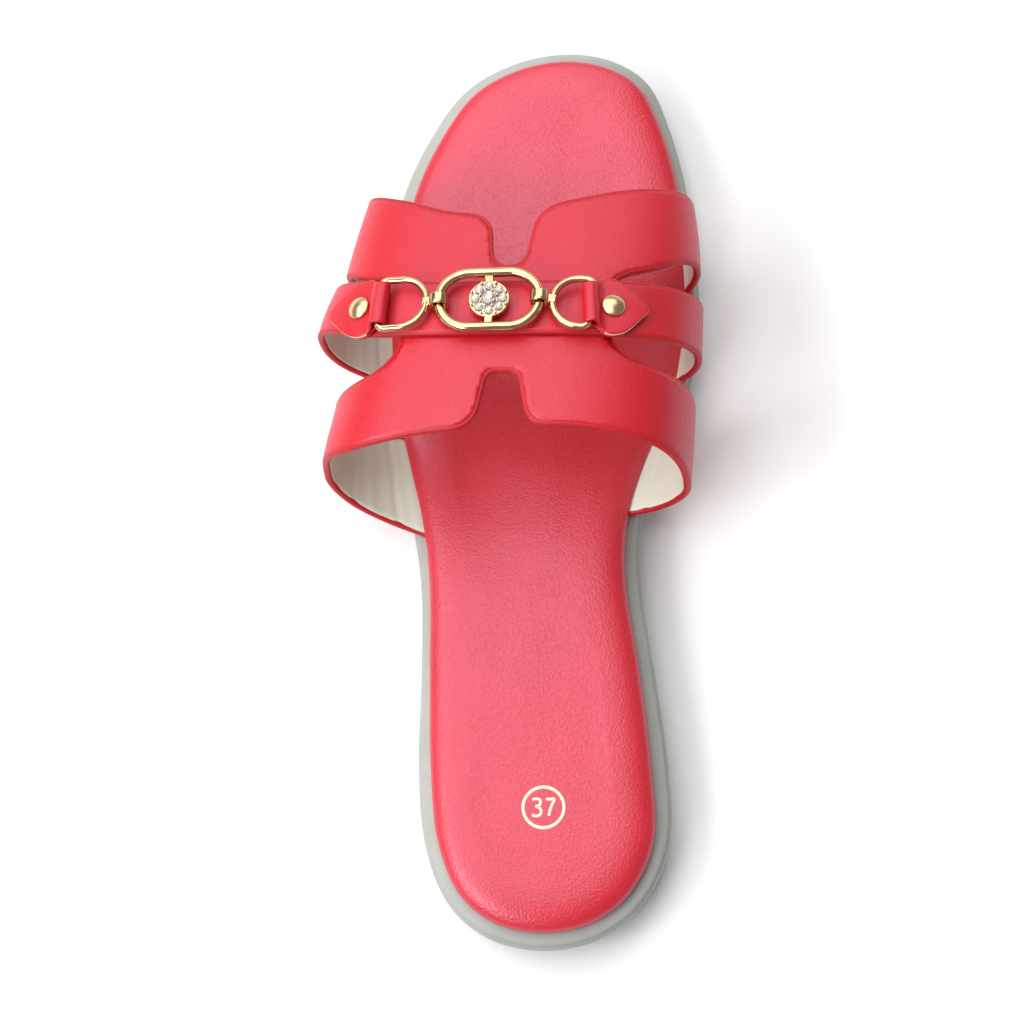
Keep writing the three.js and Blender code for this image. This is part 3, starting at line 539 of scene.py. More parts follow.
def inside_vamp(side, station):
    """How far inside the vamp's leather a point of the pattern lies, in millimetres round and along."""
    around = side / HALF_GIRTH
    in_slot = np.minimum(front_back_at(around) - station, station - back_front_at(around))
    slot = rounded_min(in_slot, np.abs(side) - WEB_HALF, SLOT_ROUND)
    front_notch = inside_notch(FRONT_NOTCH, side, station - FRONT_NOTCH["end"])
    back_notch = inside_notch(BACK_NOTCH, side, BACK_NOTCH["end"] - station)
    front = rounded_min(front_at(around) - station, -front_notch, FRONT_NOTCH["lip"])
    back = rounded_min(station - back_at(around), -back_notch, BACK_NOTCH["lip"])
    return np.minimum(np.minimum(front, back), np.minimum(-slot, END_SIDE - np.abs(side)))


def cross_lift(around, station):
    """Height of the cross strap over the vamp: its leather, down to nothing at the sole, plus its bulge."""
    lying = (LEATHER - JOIN) * (1 - smoothstep(np.abs(around), *CROSS_LEG))
    front, back = cross_front_at(around), cross_back_at(around)
    to_back = np.clip((front - station) / (front - back), 0, 1)
    away = (around - CROSS_BULGE["around"]) / CROSS_BULGE["spread"]
    seated = smoothstep(np.abs(around), CROSS_BULGE["leaves"], CROSS_BULGE["seated"])
    return lying + CROSS_BULGE["out"] * to_back * np.exp(-away * away) * (1 - seated)


def off_cross(around, station, out):
    """Point at a distance out from the cross strap's outer face."""
    return off_last(around, station, cross_lift(around, station) + out)


print("leather inside the vamp's middle", round(float(inside_vamp(0.0, 160.0)), 1), "mm from its edge")

# %% [markdown]
# ## Footbed
# The footbed is foam under a wrapped skin: a rounded side, a soft shoulder and an almost flat top. Where a
# strap goes in under it, its lower edge lifts by the strap's thickness. Cloth with pressure is the usual way
# to fill a cushion, but its remesh would lose that thin edge. The pad is firm and thin, so its form is given
# directly as rings, and the skin's slight unevenness is added to the top.

# %% Footbed
FOOTBED_PROFILE = np.array([  # inset, rise over the rim
    (0.9, 0.3), (0.35, 0.55), (0.1, 1.1), (-0.05, 1.9), (-0.1, 2.7), (0.05, 3.4), (0.4, 4.05), (1, 4.7),
    (1.9, 5.3), (3.2, 5.9), (5, 6.4), (7.4, 6.8), (10.5, 7.05),
])
CROWN_RISE = 7.2
STRAP_ROOM = {"lift": 2.9, "fades": 2.4, "spare": 0.4, "below": 4.3, "around": 0.98}
PROFILE_ROWS = 37
BASE_ROWS = ((1, 0), (0.62, 0), (0.46, 1), (0.2, 1))  # share of the way to the middle line, lifted or not
TOP_LEVELS = np.linspace(0, 1, 30)[1:] ** 1.15  # shares of the way from the shoulder to the middle line
SKIN = {"slow": 0.16, "quick": 0.07, "grows": 4}  # heights of the waves, and how soon they start
STRAPS = ((back_at, back_front_at), (cross_back_at, cross_front_at), (front_back_at, front_at))


def strap_lift(station, sign):
    """How far the footbed's lower edge is lifted: full over each strap, fading beside it."""
    fades, spare = STRAP_ROOM["fades"], STRAP_ROOM["spare"]
    around = STRAP_ROOM["around"] * sign
    lifted = np.zeros_like(station)
    for back, front in STRAPS:
        low, high = back(around), front(around)
        begun = smoothstep(station, low - fades, low - spare)
        ended = smoothstep(station, high + spare, high + fades)
        lifted = np.maximum(lifted, begun * (1 - ended))
    return STRAP_ROOM["lift"] * lifted


def uneven(x, station):
    """Slight waves of the skin over the foam, a few tenths of a millimetre, from crossing sines."""
    slow = np.sin(x / 9.3 + 0.6 * np.sin(station / 17)) * np.sin(station / 13.7 + 0.8 * np.sin(x / 12))
    quick = np.sin(x / 4.1 + station / 7.7) * np.sin(station / 5.3 - x / 6.1)
    return SKIN["slow"] * slow + SKIN["quick"] * quick


def footbed_ring(inset, rise):
    """Ring at an inset and a rise over the rim. Low rings are pushed up where a strap goes under."""
    flat = inset_ring(footbed_inset(ring_sign, ring_station) + inset)
    lift = strap_lift(flat[:, 1], ring_sign)
    below = STRAP_ROOM["below"]
    pushed = lift + (rise - GAP) * (below - lift) / (below - GAP)
    return raise_ring(flat, rim_at(flat[:, 1]) + np.where(rise < below, np.maximum(pushed, rise), rise))


print("lifted over the straps by up to", float(strap_lift(ring_station, ring_sign).max()), "mm")

# %% [markdown]
# The side follows the profile, refined by the smooth curve. Base and top close on the middle line.

# %% Rings of the footbed
row = np.arange(len(FOOTBED_PROFILE))
fine_row = np.linspace(0, row[-1], PROFILE_ROWS)
footbed_rows = np.stack([column(row, FOOTBED_PROFILE[:, k])(fine_row) for k in (0, 1)], axis=1)
footbed_side = [footbed_ring(inset, rise) for inset, rise in footbed_rows]
footbed_under = []
for share, kept in BASE_ROWS:
    flat = to_spine(footbed_side[0][:, :2], share)
    lift = kept * strap_lift(footbed_side[0][:, 1], ring_sign)
    footbed_under.append(raise_ring(flat, rim_at(flat[:, 1]) + np.maximum(GAP, lift)))
footbed_top = []
shoulder = footbed_side[-1]
for share in TOP_LEVELS:
    flat = to_spine(shoulder[:, :2], share)
    rise = FOOTBED_PROFILE[-1, 1] + (CROWN_RISE - FOOTBED_PROFILE[-1, 1]) * share
    height = rim_at(flat[:, 1]) + rise + uneven(flat[:, 0], flat[:, 1]) * min(1, SKIN["grows"] * share)
    footbed_top.append(raise_ring(flat, height))
points, quads = ring_grid(footbed_under + footbed_side + footbed_top)
footbed = add_piece("footbed_pad", outward((to_frame(points), quads)), ["footbed"])

# %% [markdown]
# ## Vamp
# The vamp has three layers: the red hide, a pale lining glued behind it, and a turned edge that wraps both.
# One sheet with Solidify would show a plain cut edge, so the turned edge is a piece of its own, carried along
# the pattern's outline. To get that outline in order, a rough path runs along all edges first.

# %% Rough path along the vamp
def run(side_from, side_to, station_from, station_to, step=0.5):
    """Straight run of points in the pattern."""
    count = int(max(abs(side_to - side_from), abs(station_to - station_from)) / step) + 2
    share = np.linspace(0, 1, count)[:-1]
    side = side_from + (side_to - side_from) * share
    return np.stack([side, station_from + (station_to - station_from) * share], axis=1)


def edge_run(side_from, side_to, edge):
    """Run of points along one edge of a strap."""
    points = run(side_from, side_to, 0, 0)
    points[:, 1] = edge(points[:, 0] / HALF_GIRTH)
    return points


def notch_run(notch, edge, way):
    """Rough path into a notch and out again, towards the medial side (1) or the lateral side (-1)."""
    mouth = float(edge(0.0))
    half = notch["half"]
    wide = half + notch["flare"] * abs(mouth - notch["end"])
    return np.concatenate([
        run(-way * wide, -way * half, mouth, notch["end"]),
        run(-way * half, way * half, notch["end"], notch["end"]),
        run(way * half, way * wide, notch["end"], mouth),
    ])


def vamp_path():
    """Rough path along all edges of the vamp, with the leather on its right hand."""
    wide_front = FRONT_NOTCH["half"] + FRONT_NOTCH["flare"] * abs(float(front_at(0.0)) - FRONT_NOTCH["end"])
    wide_back = BACK_NOTCH["half"] + BACK_NOTCH["flare"] * abs(float(back_at(0.0)) - BACK_NOTCH["end"])
    ends = {way: [float(edge(way * STRAP_END)) for edge in (front_at, front_back_at, back_front_at, back_at)]
            for way in (-1, 1)}
    slot = {way: [float(edge(way * WEB_HALF / HALF_GIRTH)) for edge in (front_back_at, back_front_at)]
            for way in (-1, 1)}
    return np.concatenate([
        edge_run(-END_SIDE, -wide_front, front_at),
        notch_run(FRONT_NOTCH, front_at, 1),
        edge_run(wide_front, END_SIDE, front_at),
        run(END_SIDE, END_SIDE, ends[1][0], ends[1][1]),
        edge_run(END_SIDE, WEB_HALF, front_back_at),
        run(WEB_HALF, WEB_HALF, slot[1][0], slot[1][1]),
        edge_run(WEB_HALF, END_SIDE, back_front_at),
        run(END_SIDE, END_SIDE, ends[1][2], ends[1][3]),
        edge_run(END_SIDE, wide_back, back_at),
        notch_run(BACK_NOTCH, back_at, -1),
        edge_run(-wide_back, -END_SIDE, back_at),
        run(-END_SIDE, -END_SIDE, ends[-1][3], ends[-1][2]),
        edge_run(-END_SIDE, -WEB_HALF, back_front_at),
        run(-WEB_HALF, -WEB_HALF, slot[-1][1], slot[-1][0]),
        edge_run(-WEB_HALF, -END_SIDE, front_back_at),
        run(-END_SIDE, -END_SIDE, ends[-1][1], ends[-1][0]),
    ])


print("rough path", len(vamp_path()), "points")

# %% [markdown]
# Each point of the path moves along the slope of the inside number until that is zero, as in Newton's method,
# by at most a short step at a time. Then the points are spaced evenly, so that a profile carried along them
# has no crowded rings.

# %% Path on the edge
EDGE = {"rim": 0.8, "step": 0.7}  # hide and lining end this far inside the edge; steps along it


def to_zero(path, inside, rounds=24, step=0.05):
    """Moves points along the slope of the inside number until it is zero there."""
    for _ in range(rounds):
        side, station = path.T
        value = inside(side, station)
        slope = np.stack([
            inside(side + step, station) - inside(side - step, station),
            inside(side, station + step) - inside(side, station - step),
        ], axis=1) / (2 * step)
        path = path - slope * (np.clip(value, -1, 1) / np.maximum((slope**2).sum(axis=1), 0.2))[:, None]
    return path


def even_path(path, step):
    """The closed path with points at an even distance."""
    closed = np.concatenate([path, path[:1]])
    length = np.concatenate([[0], np.cumsum(np.linalg.norm(np.diff(closed, axis=0), axis=1))])
    at = np.linspace(0, length[-1], int(length[-1] / step))[:-1]
    return np.stack([np.interp(at, length, closed[:, k]) for k in (0, 1)], axis=1)


vamp_edge = even_path(to_zero(vamp_path(), inside_vamp), EDGE["step"])
print(len(vamp_edge), "points along the vamp's edges")

# %% [markdown]
# Hide and lining are fine grids without the cells that lie off the pattern, and the points on their rims are
# moved on to a line just inside the edge. The turned edge is a rounded profile that covers that line. Creases
# of the lining are soft troughs and ridges, placed where the straps bend down to the sole.

# %% Layers of the vamp
GRID_STEP = 0.75
VAMP_ROWS = (104, 206)  # stations that the pattern's grid covers
HIDE = 1.1  # thickness of the hide, the rest is lining
EDGE_PROFILE = np.array([  # inset from the edge, depth under the face; the lower half mirrors this
    (1.3, 0.5), (1.2, 0.14), (0.95, 0.02), (0.75, -0.02), (0.5, 0.05), (0.25, 0.24), (0.07, 0.6), (0, 1),
])
FOLDS = np.array([  # around, depth, half width round the strap: creases in the lining
    (-0.95, -0.12, 0.012), (-0.9, 0.25, 0.008), (-0.83, -0.14, 0.014), (-0.77, 0.16, 0.008),
    (-0.7, 0.12, 0.01), (-0.63, -0.1, 0.016), (0.76, 0.1, 0.01), (0.9, 0.2, 0.008),
])
FOLD_WAVE = {"around": 0.004, "length": 4.0}  # a crease is not quite straight


def turned_edge(points, normals, thick):
    """Rolled rim along a closed path on a face. Its inner side is buried in the leather."""
    way = unit(np.roll(points, -1, axis=0) - np.roll(points, 1, axis=0))
    out = unit(np.cross(normals, way))
    inset, depth = EDGE_PROFILE.T
    across = -np.concatenate([inset, inset[-2::-1]])
    up = np.concatenate([-depth, depth[-2::-1] - thick])
    rim = points[:, None] + out[:, None] * across[:, None] + normals[:, None] * up[:, None]
    quads = grid_quads(len(points), len(across), wrap_rows=True, wrap_columns=True)
    return outward((to_frame(rim), quads))


vamp_side, vamp_station = np.meshgrid(
    np.linspace(-END_SIDE, END_SIDE, int(2 * END_SIDE / GRID_STEP)),
    np.linspace(VAMP_ROWS[0], VAMP_ROWS[1], int((VAMP_ROWS[1] - VAMP_ROWS[0]) / GRID_STEP)),
    indexing="ij",
)
vamp_inside = inside_vamp(vamp_side, vamp_station)
vamp_quads = grid_quads(*vamp_side.shape)
vamp_quads = vamp_quads[(vamp_inside.ravel()[vamp_quads] > EDGE["rim"]).all(axis=1)]
vamp_flat = np.stack([vamp_side.ravel(), vamp_station.ravel()], axis=1)
vamp_rim = np.unique(open_edges(vamp_quads))
vamp_flat[vamp_rim] = to_zero(vamp_flat[vamp_rim], lambda side, at: inside_vamp(side, at) - EDGE["rim"])
vamp_around, vamp_station = vamp_flat[:, 0] / HALF_GIRTH, vamp_flat[:, 1]


def lining_folds(around, station):
    """Depth of the creases: a bell curve across each, which runs along the strap's width in a slight wave."""
    wavy = around + FOLD_WAVE["around"] * np.sin(station / FOLD_WAVE["length"])
    return sum(depth * np.exp(-(((wavy - at) / half) ** 2)) for at, depth, half in FOLDS)


def strap_layers(place, around, station, quads):
    """Hide and lining as two closed walls, from a function that gives the face at a distance out."""
    flat = np.zeros_like(around)
    levels = (flat, flat - HIDE, lining_folds(around, station) - LEATHER)
    faces = [to_frame(place(around, station, level)) for level in levels]
    return shell(faces[0], faces[1], quads), shell(faces[1], faces[2], quads)


hide, lining = strap_layers(off_last, vamp_around, vamp_station, vamp_quads)
edge_points = off_last(vamp_edge[:, 0] / HALF_GIRTH, vamp_edge[:, 1], np.zeros(len(vamp_edge)))
edge_normals = last_normal(vamp_edge[:, 0] / HALF_GIRTH, vamp_edge[:, 1])
add_piece("vamp_hide", hide, ["upper"])
add_piece("vamp_lining", lining)
add_piece("vamp_edge", turned_edge(edge_points, edge_normals, LEATHER))

# %% [markdown]
# ## Cross strap
# The narrow strap lies on the vamp's middle and comes down to the sole by itself. It is made in the same
# three layers, but its grid follows the strap from end to end, so it needs no cutting.

# %% Cross strap
CROSS_GRID = {"columns": 240, "rows": 26, "margin": 0.05, "edge_columns": 290, "edge_rows": 12}


def cross_station(around, share):
    """Station between the strap's back edge (0) and its front edge (1)."""
    return cross_back_at(around) + (cross_front_at(around) - cross_back_at(around)) * share


cross_around, cross_share = np.meshgrid(
    np.linspace(-STRAP_END, STRAP_END, CROSS_GRID["columns"]),
    np.linspace(CROSS_GRID["margin"], 1 - CROSS_GRID["margin"], CROSS_GRID["rows"]),
    indexing="ij",
)
cross_grid = grid_quads(*cross_around.shape)
hide, lining = strap_layers(off_cross, cross_around, cross_station(cross_around, cross_share), cross_grid)
share = np.linspace(0, 1, CROSS_GRID["edge_rows"])[:-1]
long_way = np.linspace(-STRAP_END, STRAP_END, CROSS_GRID["edge_columns"])[:-1]
cross_edge = np.concatenate([
    np.stack([long_way, 0 * long_way + 1], axis=1),
    np.stack([0 * share + STRAP_END, 1 - share], axis=1),
    np.stack([-long_way, 0 * long_way], axis=1),
    np.stack([0 * share - STRAP_END, share], axis=1),
])
edge_station = cross_station(cross_edge[:, 0], cross_edge[:, 1])
edge_points = off_cross(cross_edge[:, 0], edge_station, np.zeros(len(cross_edge)))
add_piece("cross_hide", hide)
add_piece("cross_lining", lining)
add_piece(
    "cross_edge",
    turned_edge(edge_points, last_normal(cross_edge[:, 0], edge_station), LEATHER),
)

# %% [markdown]
# ## Chain
# Metal parts are round wires and turned collars in frames of their own: an x axis along the link, a y axis
# that leans towards the toe as the leather does, and a z axis out of the leather. Objects with a rotation
# would be simpler, but a finished piece has to sit unturned at the origin, so the frame is applied to the
# points. The oval link lies in the middle. A ring on either side reaches from its tab to the oval and closes
# round it with a collar.

# %% Frames of the chain
CHAIN_LEAN = unit(np.array([0, 1, -0.2]))
OVAL = {"length": 29.0, "width": 18.8, "wire": 1.3, "around": -0.042, "station": 161.5, "over": 1.2}
RING = {"width": 14.2, "wire": 0.95, "corner": 2.0}
NECK = {"width": 2.7, "length": 0.9, "bite": 0.5, "root": 1.0}
COLLAR = {"length": 3.2, "wall": 0.75, "play": 0.5, "corner": 0.3}
TAB = {"leather": 0.85, "play": 0.3, "over": 0.4, "thick": 1.9, "tip": 14.4}
TAB_LOOP = {"over": 0.9, "half": 5.6, "from": 0.4, "to": 2.6}
SIDES = {
    "lateral": {"sign": -1, "bar_around": -0.341, "bar_station": 162.0, "tip_station": 163.0, "layers": 1},
    "medial": {"sign": 1, "bar_around": 0.244, "bar_station": 159.6, "tip_station": 159.6, "layers": 2},
}
OVAL_REACH = OVAL["length"] / 2 - OVAL["wire"]


def one(points):
    """A single point or vector out of an array of one."""
    return np.asarray(points).reshape(3)


def link_frame(start, end):
    """Origin and axes of a link that runs from one point to another."""
    along = unit(end - start)
    normal = unit(np.cross(along, CHAIN_LEAN))
    return start, np.stack([along, np.cross(normal, along), normal])


def placed(link, points):
    """Points of a link's own frame in the shoemaker's directions."""
    origin, axes = link
    return origin + points.reshape(-1, 3) @ axes


oval_place = np.array([OVAL["around"]]), np.array([OVAL["station"]])
oval_middle = one(off_cross(*oval_place, OVAL["wire"] + OVAL["over"]))
half_way = OVAL["length"] / 2 / HALF_GIRTH
ends = look_up(last_table, OVAL["around"] + np.array([-half_way, half_way]), np.full(2, OVAL["station"]))
oval_link = link_frame(oval_middle, oval_middle + ends[1] - ends[0])


def ring_link(side):
    """Frame of one ring, from the middle of its bar, and its distance to the end of the oval."""
    high = TAB_LOOP["over"] + RING["wire"] + TAB["play"] + TAB["leather"]
    bar = one(off_cross(np.array([side["bar_around"]]), np.array([side["bar_station"]]), high))
    end = placed(oval_link, np.array([side["sign"] * OVAL_REACH, 0, 0]))[0]
    return link_frame(bar, end), np.linalg.norm(end - bar)


print("oval link", [round(float(value), 1) for value in oval_middle])

# %% [markdown]
# Small metal parts repeat three shapes: a wire along a closed path, a piece turned about an axis, and a bar
# with rounded ends. Each is a grid with a circle or a profile in one direction. Curve objects with a bevel
# make wires too, but they would have to become meshes afterwards.

# %% Wires, turned parts and bars
def arc(x, y, radius, start, stop, count=24):
    """Points of a round corner in a link's plane, angles in quarter turns."""
    angle = np.linspace(start, stop, count) * np.pi / 2
    return np.stack([x + radius * np.cos(angle), y + radius * np.sin(angle)], axis=1)


def wire_loop(path, radius, step=0.3, sides=20):
    """Round wire along a closed flat path: a circle in the plane of the path's side direction and z."""
    path = even_path(path, step)
    way = unit(np.roll(path, -1, axis=0) - np.roll(path, 1, axis=0))
    aside = np.stack([way[:, 1], -way[:, 0]], axis=1)
    angle = np.linspace(0, 2 * np.pi, sides, endpoint=False)
    flat = path[:, None] + aside[:, None] * (radius * np.cos(angle))[:, None]
    height = np.broadcast_to(radius * np.sin(angle), flat.shape[:2])[..., None]
    points = np.concatenate([flat, height], axis=2)
    return points.reshape(-1, 3), grid_quads(len(path), sides, wrap_rows=True, wrap_columns=True)


def turned(profile, axis, segments=40):
    """Piece turned about an axis (1 for y, 2 for z) from a closed list of (radius, height)."""
    profile = np.asarray(profile, float)
    angle = np.linspace(0, 2 * np.pi, segments, endpoint=False)
    points = np.zeros((len(profile), segments, 3))
    points[..., 0] = profile[:, :1] * np.cos(angle)
    points[..., 3 - axis] = profile[:, :1] * np.sin(angle)
    points[..., axis] = profile[:, 1:]
    return points.reshape(-1, 3), grid_quads(len(profile), segments, wrap_rows=True, wrap_columns=True)


def rounded_bar(width, depth, height, middle, power=4.0, end_power=8.0, steps=13, sides=24):
    """Bar along x with rounded corners all round: superellipse sections that shrink at both ends."""
    along = np.linspace(-1, 1, steps)
    size = (1 - np.abs(along) ** end_power).clip(0) ** (1 / end_power)
    angle = np.linspace(0, 2 * np.pi, sides, endpoint=False)
    y = np.sign(np.cos(angle)) * np.abs(np.cos(angle)) ** (2 / power) * depth / 2
    z = np.sign(np.sin(angle)) * np.abs(np.sin(angle)) ** (2 / power) * height / 2
    points = np.zeros((steps, sides, 3))
    points[..., 0] = along[:, None] * width / 2
    points[..., 1] = size[:, None] * y
    points[..., 2] = size[:, None] * z
    return points.reshape(-1, 3) + np.array(middle), grid_quads(steps, sides, wrap_columns=True)


def rounded_profile(radius_low, radius_high, low, high, corner):
    """Rectangle with rounded corners as a closed (radius, height) profile."""
    return np.concatenate([
        arc(radius_high - corner, high - corner, corner, 0, 1, 6),
        arc(radius_low + corner, high - corner, corner, 1, 2, 6),
        arc(radius_low + corner, low + corner, corner, 2, 3, 6),
        arc(radius_high - corner, low + corner, corner, 3, 4, 6),
    ])


print("a turned disc has", len(turned(rounded_profile(1, 2, 0, 1, 0.1), 2)[1]), "faces")

# %% [markdown]
# ## Rings, oval link and rivets
# A ring is a wire bent to a D, with a short neck and a collar. The oval is a thicker wire, with a turned
# plate on a bar across its middle that holds the stones. A torus could be stretched to either, but its wire
# would not stay round.

# %% Rings and oval
ROSETTE = {"plate": 5.4, "thick": 1.2, "corner": 0.28, "bridge": 2.4, "seat": 0.15}
PAST_AXIS = 0.3  # a full disc's profile starts beyond the axis and is cut off there


def ring_path(tip):
    """D: a straight bar on the y axis with two small corners, straight sides and a round end at tip."""
    half, corner = RING["width"] / 2, RING["corner"]
    return np.concatenate([
        arc(corner, corner - half, corner, 2, 3),
        arc(tip - half, 0, half, -1, 1, 60),
        arc(corner, half - corner, corner, 1, 2),
    ])


def ring_shape(side):
    """Wire, neck and collar of one ring."""
    link, reach = ring_link(side)
    inner = OVAL["wire"] + COLLAR["play"]
    outer = inner + COLLAR["wall"]
    tip = reach - outer - NECK["length"]
    neck_end = reach - outer + NECK["bite"]
    wire = wire_loop(ring_path(tip), RING["wire"])
    neck_start = tip - NECK["root"]
    neck_middle = ((neck_start + neck_end) / 2, 0, 0)
    neck = rounded_bar(neck_end - neck_start, NECK["width"], 2 * RING["wire"], neck_middle)
    half = COLLAR["length"] / 2
    collar = turned(rounded_profile(inner, outer, -half, half, COLLAR["corner"]), 1)
    seated = collar[0] + np.array([side["sign"] * OVAL_REACH, 0, 0])
    shapes = [outward((placed(link, points), quads)) for points, quads in (wire, neck)]
    shapes.append(outward((placed(oval_link, seated), collar[1])))
    points, quads = join(*shapes)
    return to_frame(points), quads


def oval_shape():
    """Stadium of wire with the stones' plate on a bar across it."""
    width = OVAL["width"] - 2 * OVAL["wire"]
    straight = OVAL_REACH - width / 2
    path = np.concatenate([arc(straight, 0, width / 2, -1, 1, 60), arc(-straight, 0, width / 2, 1, 3, 60)])
    wire = wire_loop(path, OVAL["wire"], sides=24)
    half = ROSETTE["thick"] / 2
    disc = rounded_profile(-PAST_AXIS, ROSETTE["plate"], -half, half, ROSETTE["corner"])
    plate = turned(np.maximum(disc, [0, -half]), 2, 56)
    bar, bar_quads = rounded_bar(width, ROSETTE["bridge"], ROSETTE["thick"], (0, 0, 0))
    points, quads = join(outward(wire), outward(plate), outward((bar[:, [1, 0, 2]], bar_quads)))
    return to_frame(placed(oval_link, points)), quads


print("rings reach", [round(float(ring_link(side)[1]), 1) for side in SIDES.values()], "mm to the oval")

# %% [markdown]
# Each rivet has a low dome with a small rim, a shank and a flat back under the leather. It is turned from one
# profile, as on a lathe, which keeps the dome evenly round. It stands square on the leather, at a place of
# the tab that it holds.

# %% Rivets
RIVET = {"along": 5.5, "over": 0.4, "head": 3.1, "brim": 0.3, "dome": 0.85, "inset": 0.12, "shank": 1.2}
RIVET_BRIM = np.array([(0.2, -0.35), (0, -0.15), (0, 0.05), (0.06, 0.18)])  # inset from the head, height
RIVET_BACK = {"radius": 2.4, "thick": 0.7, "corner": 0.3}


def tab_place(side, along, across):
    """Way round and station of a place on a tab, measured from the ring's bar towards the tab's point."""
    around = side["bar_around"] + side["sign"] * along / HALF_GIRTH
    station = side["bar_station"] + (side["tip_station"] - side["bar_station"]) * along / TAB["tip"]
    return around, station + across


def rivet_frame(side):
    """Frame of a rivet: its z axis stands on the leather, its origin is under the head."""
    around, station = tab_place(side, np.array([RIVET["along"]]), 0)
    normal = one(last_normal(around, station))
    toe = one(off_last(around, station + 1, np.zeros(1)) - off_last(around, station - 1, np.zeros(1)))
    along = unit(np.cross(toe, normal))
    origin = one(off_cross(around, station, np.full(1, TAB["over"] + TAB["thick"] + RIVET["over"])))
    return origin, np.stack([along, np.cross(normal, along), normal])


def rivet_shape(side):
    """Low dome with a rim, shank and back, turned in one profile."""
    leather = side["layers"] * LEATHER - (side["layers"] - 1) * JOIN
    under = -(RIVET["over"] + TAB["thick"] + TAB["over"] + leather + 2 * GAP)
    bottom = under - RIVET_BACK["thick"]
    radius, corner = RIVET_BACK["radius"], RIVET_BACK["corner"]
    back = [(0, bottom), (radius - corner, bottom), (radius, bottom + corner), (radius, under)]
    shank = [(RIVET["shank"], under), (RIVET["shank"], RIVET_BRIM[0, 1])]
    brim = np.array([RIVET["head"], 0]) + RIVET_BRIM * np.array([-1, 1])
    share = np.linspace(1, 0, 14)
    wide, high = RIVET["head"] - RIVET["inset"], RIVET["brim"] + RIVET["dome"] * (1 - share**2)
    dome = np.stack([wide * share, high], axis=1)
    profile = np.concatenate([back, shank, brim, dome])
    points, quads = turned(profile, 2, 56)
    return outward((to_frame(placed(rivet_frame(side), points)), quads))


for name, side in SIDES.items():
    add_piece(f"chain_ring_{name}", ring_shape(side), [f"ring_{name}"])
    add_piece(f"rivet_head_{name}", rivet_shape(side), [f"rivet_{name}"])
add_piece("chain_oval", oval_shape(), ["oval_link"])

# %% [markdown]
# ## Stones
# The rosette's stones are cut like small brilliants: a flat table, a ring of kite facets and a girdle. A cone
# would be quicker, but has no table to catch the light. The stones are shaded flat, because facets are what
# make them sparkle. Little beads of metal between them hold them down.

# %% Stones
STONES = {"centre": 2.0, "petal": 1.25, "petals": 8, "circle": 3.65}
STONE_CUT = np.array([  # radius, height, turn in half steps
    (0, 0, 0), (0.9, 0, 0), (1, 0.12, 0), (1, 0.3, 0), (0.82, 0.5, 1), (0.58, 0.7, 0), (0, 0.7, 0),
])
STONE_CORNERS = 8
BEAD = {"radius": 0.42, "inner": 2.36, "outer": 4.85, "over": 0.45, "rings": 9, "sides": 12}


def stone_shape(radius, x, y):
    """Girdle, star and table as rings of corners. The star's ring is turned by half a step."""
    wide, high, turn = (STONE_CUT[:, k : k + 1] for k in range(3))
    angle = (np.arange(STONE_CORNERS) + turn / 2) * 2 * np.pi / STONE_CORNERS
    points = np.zeros((len(STONE_CUT), STONE_CORNERS, 3))
    points[..., 0] = x + radius * wide * np.cos(angle)
    points[..., 1] = y + radius * wide * np.sin(angle)
    points[..., 2] = ROSETTE["thick"] / 2 + ROSETTE["seat"] + radius * high
    return outward((points.reshape(-1, 3), grid_quads(len(STONE_CUT), STONE_CORNERS, wrap_columns=True)))


def bead_shape(x, y):
    """Small ball as a grid of latitudes and longitudes."""
    latitudes = np.linspace(-np.pi / 2, np.pi / 2, BEAD["rings"])
    longitudes = np.arange(BEAD["sides"]) * 2 * np.pi / BEAD["sides"]
    lat, lon = np.meshgrid(latitudes, longitudes, indexing="ij")
    ball = np.stack([np.cos(lat) * np.cos(lon), np.cos(lat) * np.sin(lon), np.sin(lat)], axis=-1)
    points = ball.reshape(-1, 3) * BEAD["radius"] + np.array([x, y, ROSETTE["thick"] / 2 + BEAD["over"]])
    return outward((points, grid_quads(BEAD["rings"], BEAD["sides"], wrap_columns=True)))


def on_circle(radius, angle):
    """x and y of a place on a circle of the rosette."""
    return radius * np.cos(angle), radius * np.sin(angle)


stones = [stone_shape(STONES["centre"], 0, 0)]
beads = []
for angle in np.arange(STONES["petals"]) * 2 * np.pi / STONES["petals"]:
    stones.append(stone_shape(STONES["petal"], *on_circle(STONES["circle"], angle)))
    between = angle + np.pi / STONES["petals"]
    beads.extend(bead_shape(*on_circle(BEAD[circle], between)) for circle in ("inner", "outer"))
points, quads = join(*stones)
stone_nodes = ["stone_centre"] + [f"stone_petal_{k + 1}" for k in range(STONES["petals"])]
rosette = to_frame(placed(oval_link, points)), quads
add_piece("rosette_stones", rosette, stone_nodes, smooth=False)
points, quads = join(*beads)
add_piece("rosette_beads", (to_frame(placed(oval_link, points)), quads))

# %% [markdown]
# ## Tabs
# A tab is one strip of leather. It starts at the pointed end, runs to the ring, goes round the ring's bar and
# comes back on top of itself. A flat mesh bent with Simple Deform would not keep its thickness in the loop.
# So its profile is a path through (along, height), and its width follows from the place along the path. The
# cut sides show the pale core of the leather, as a thin band.

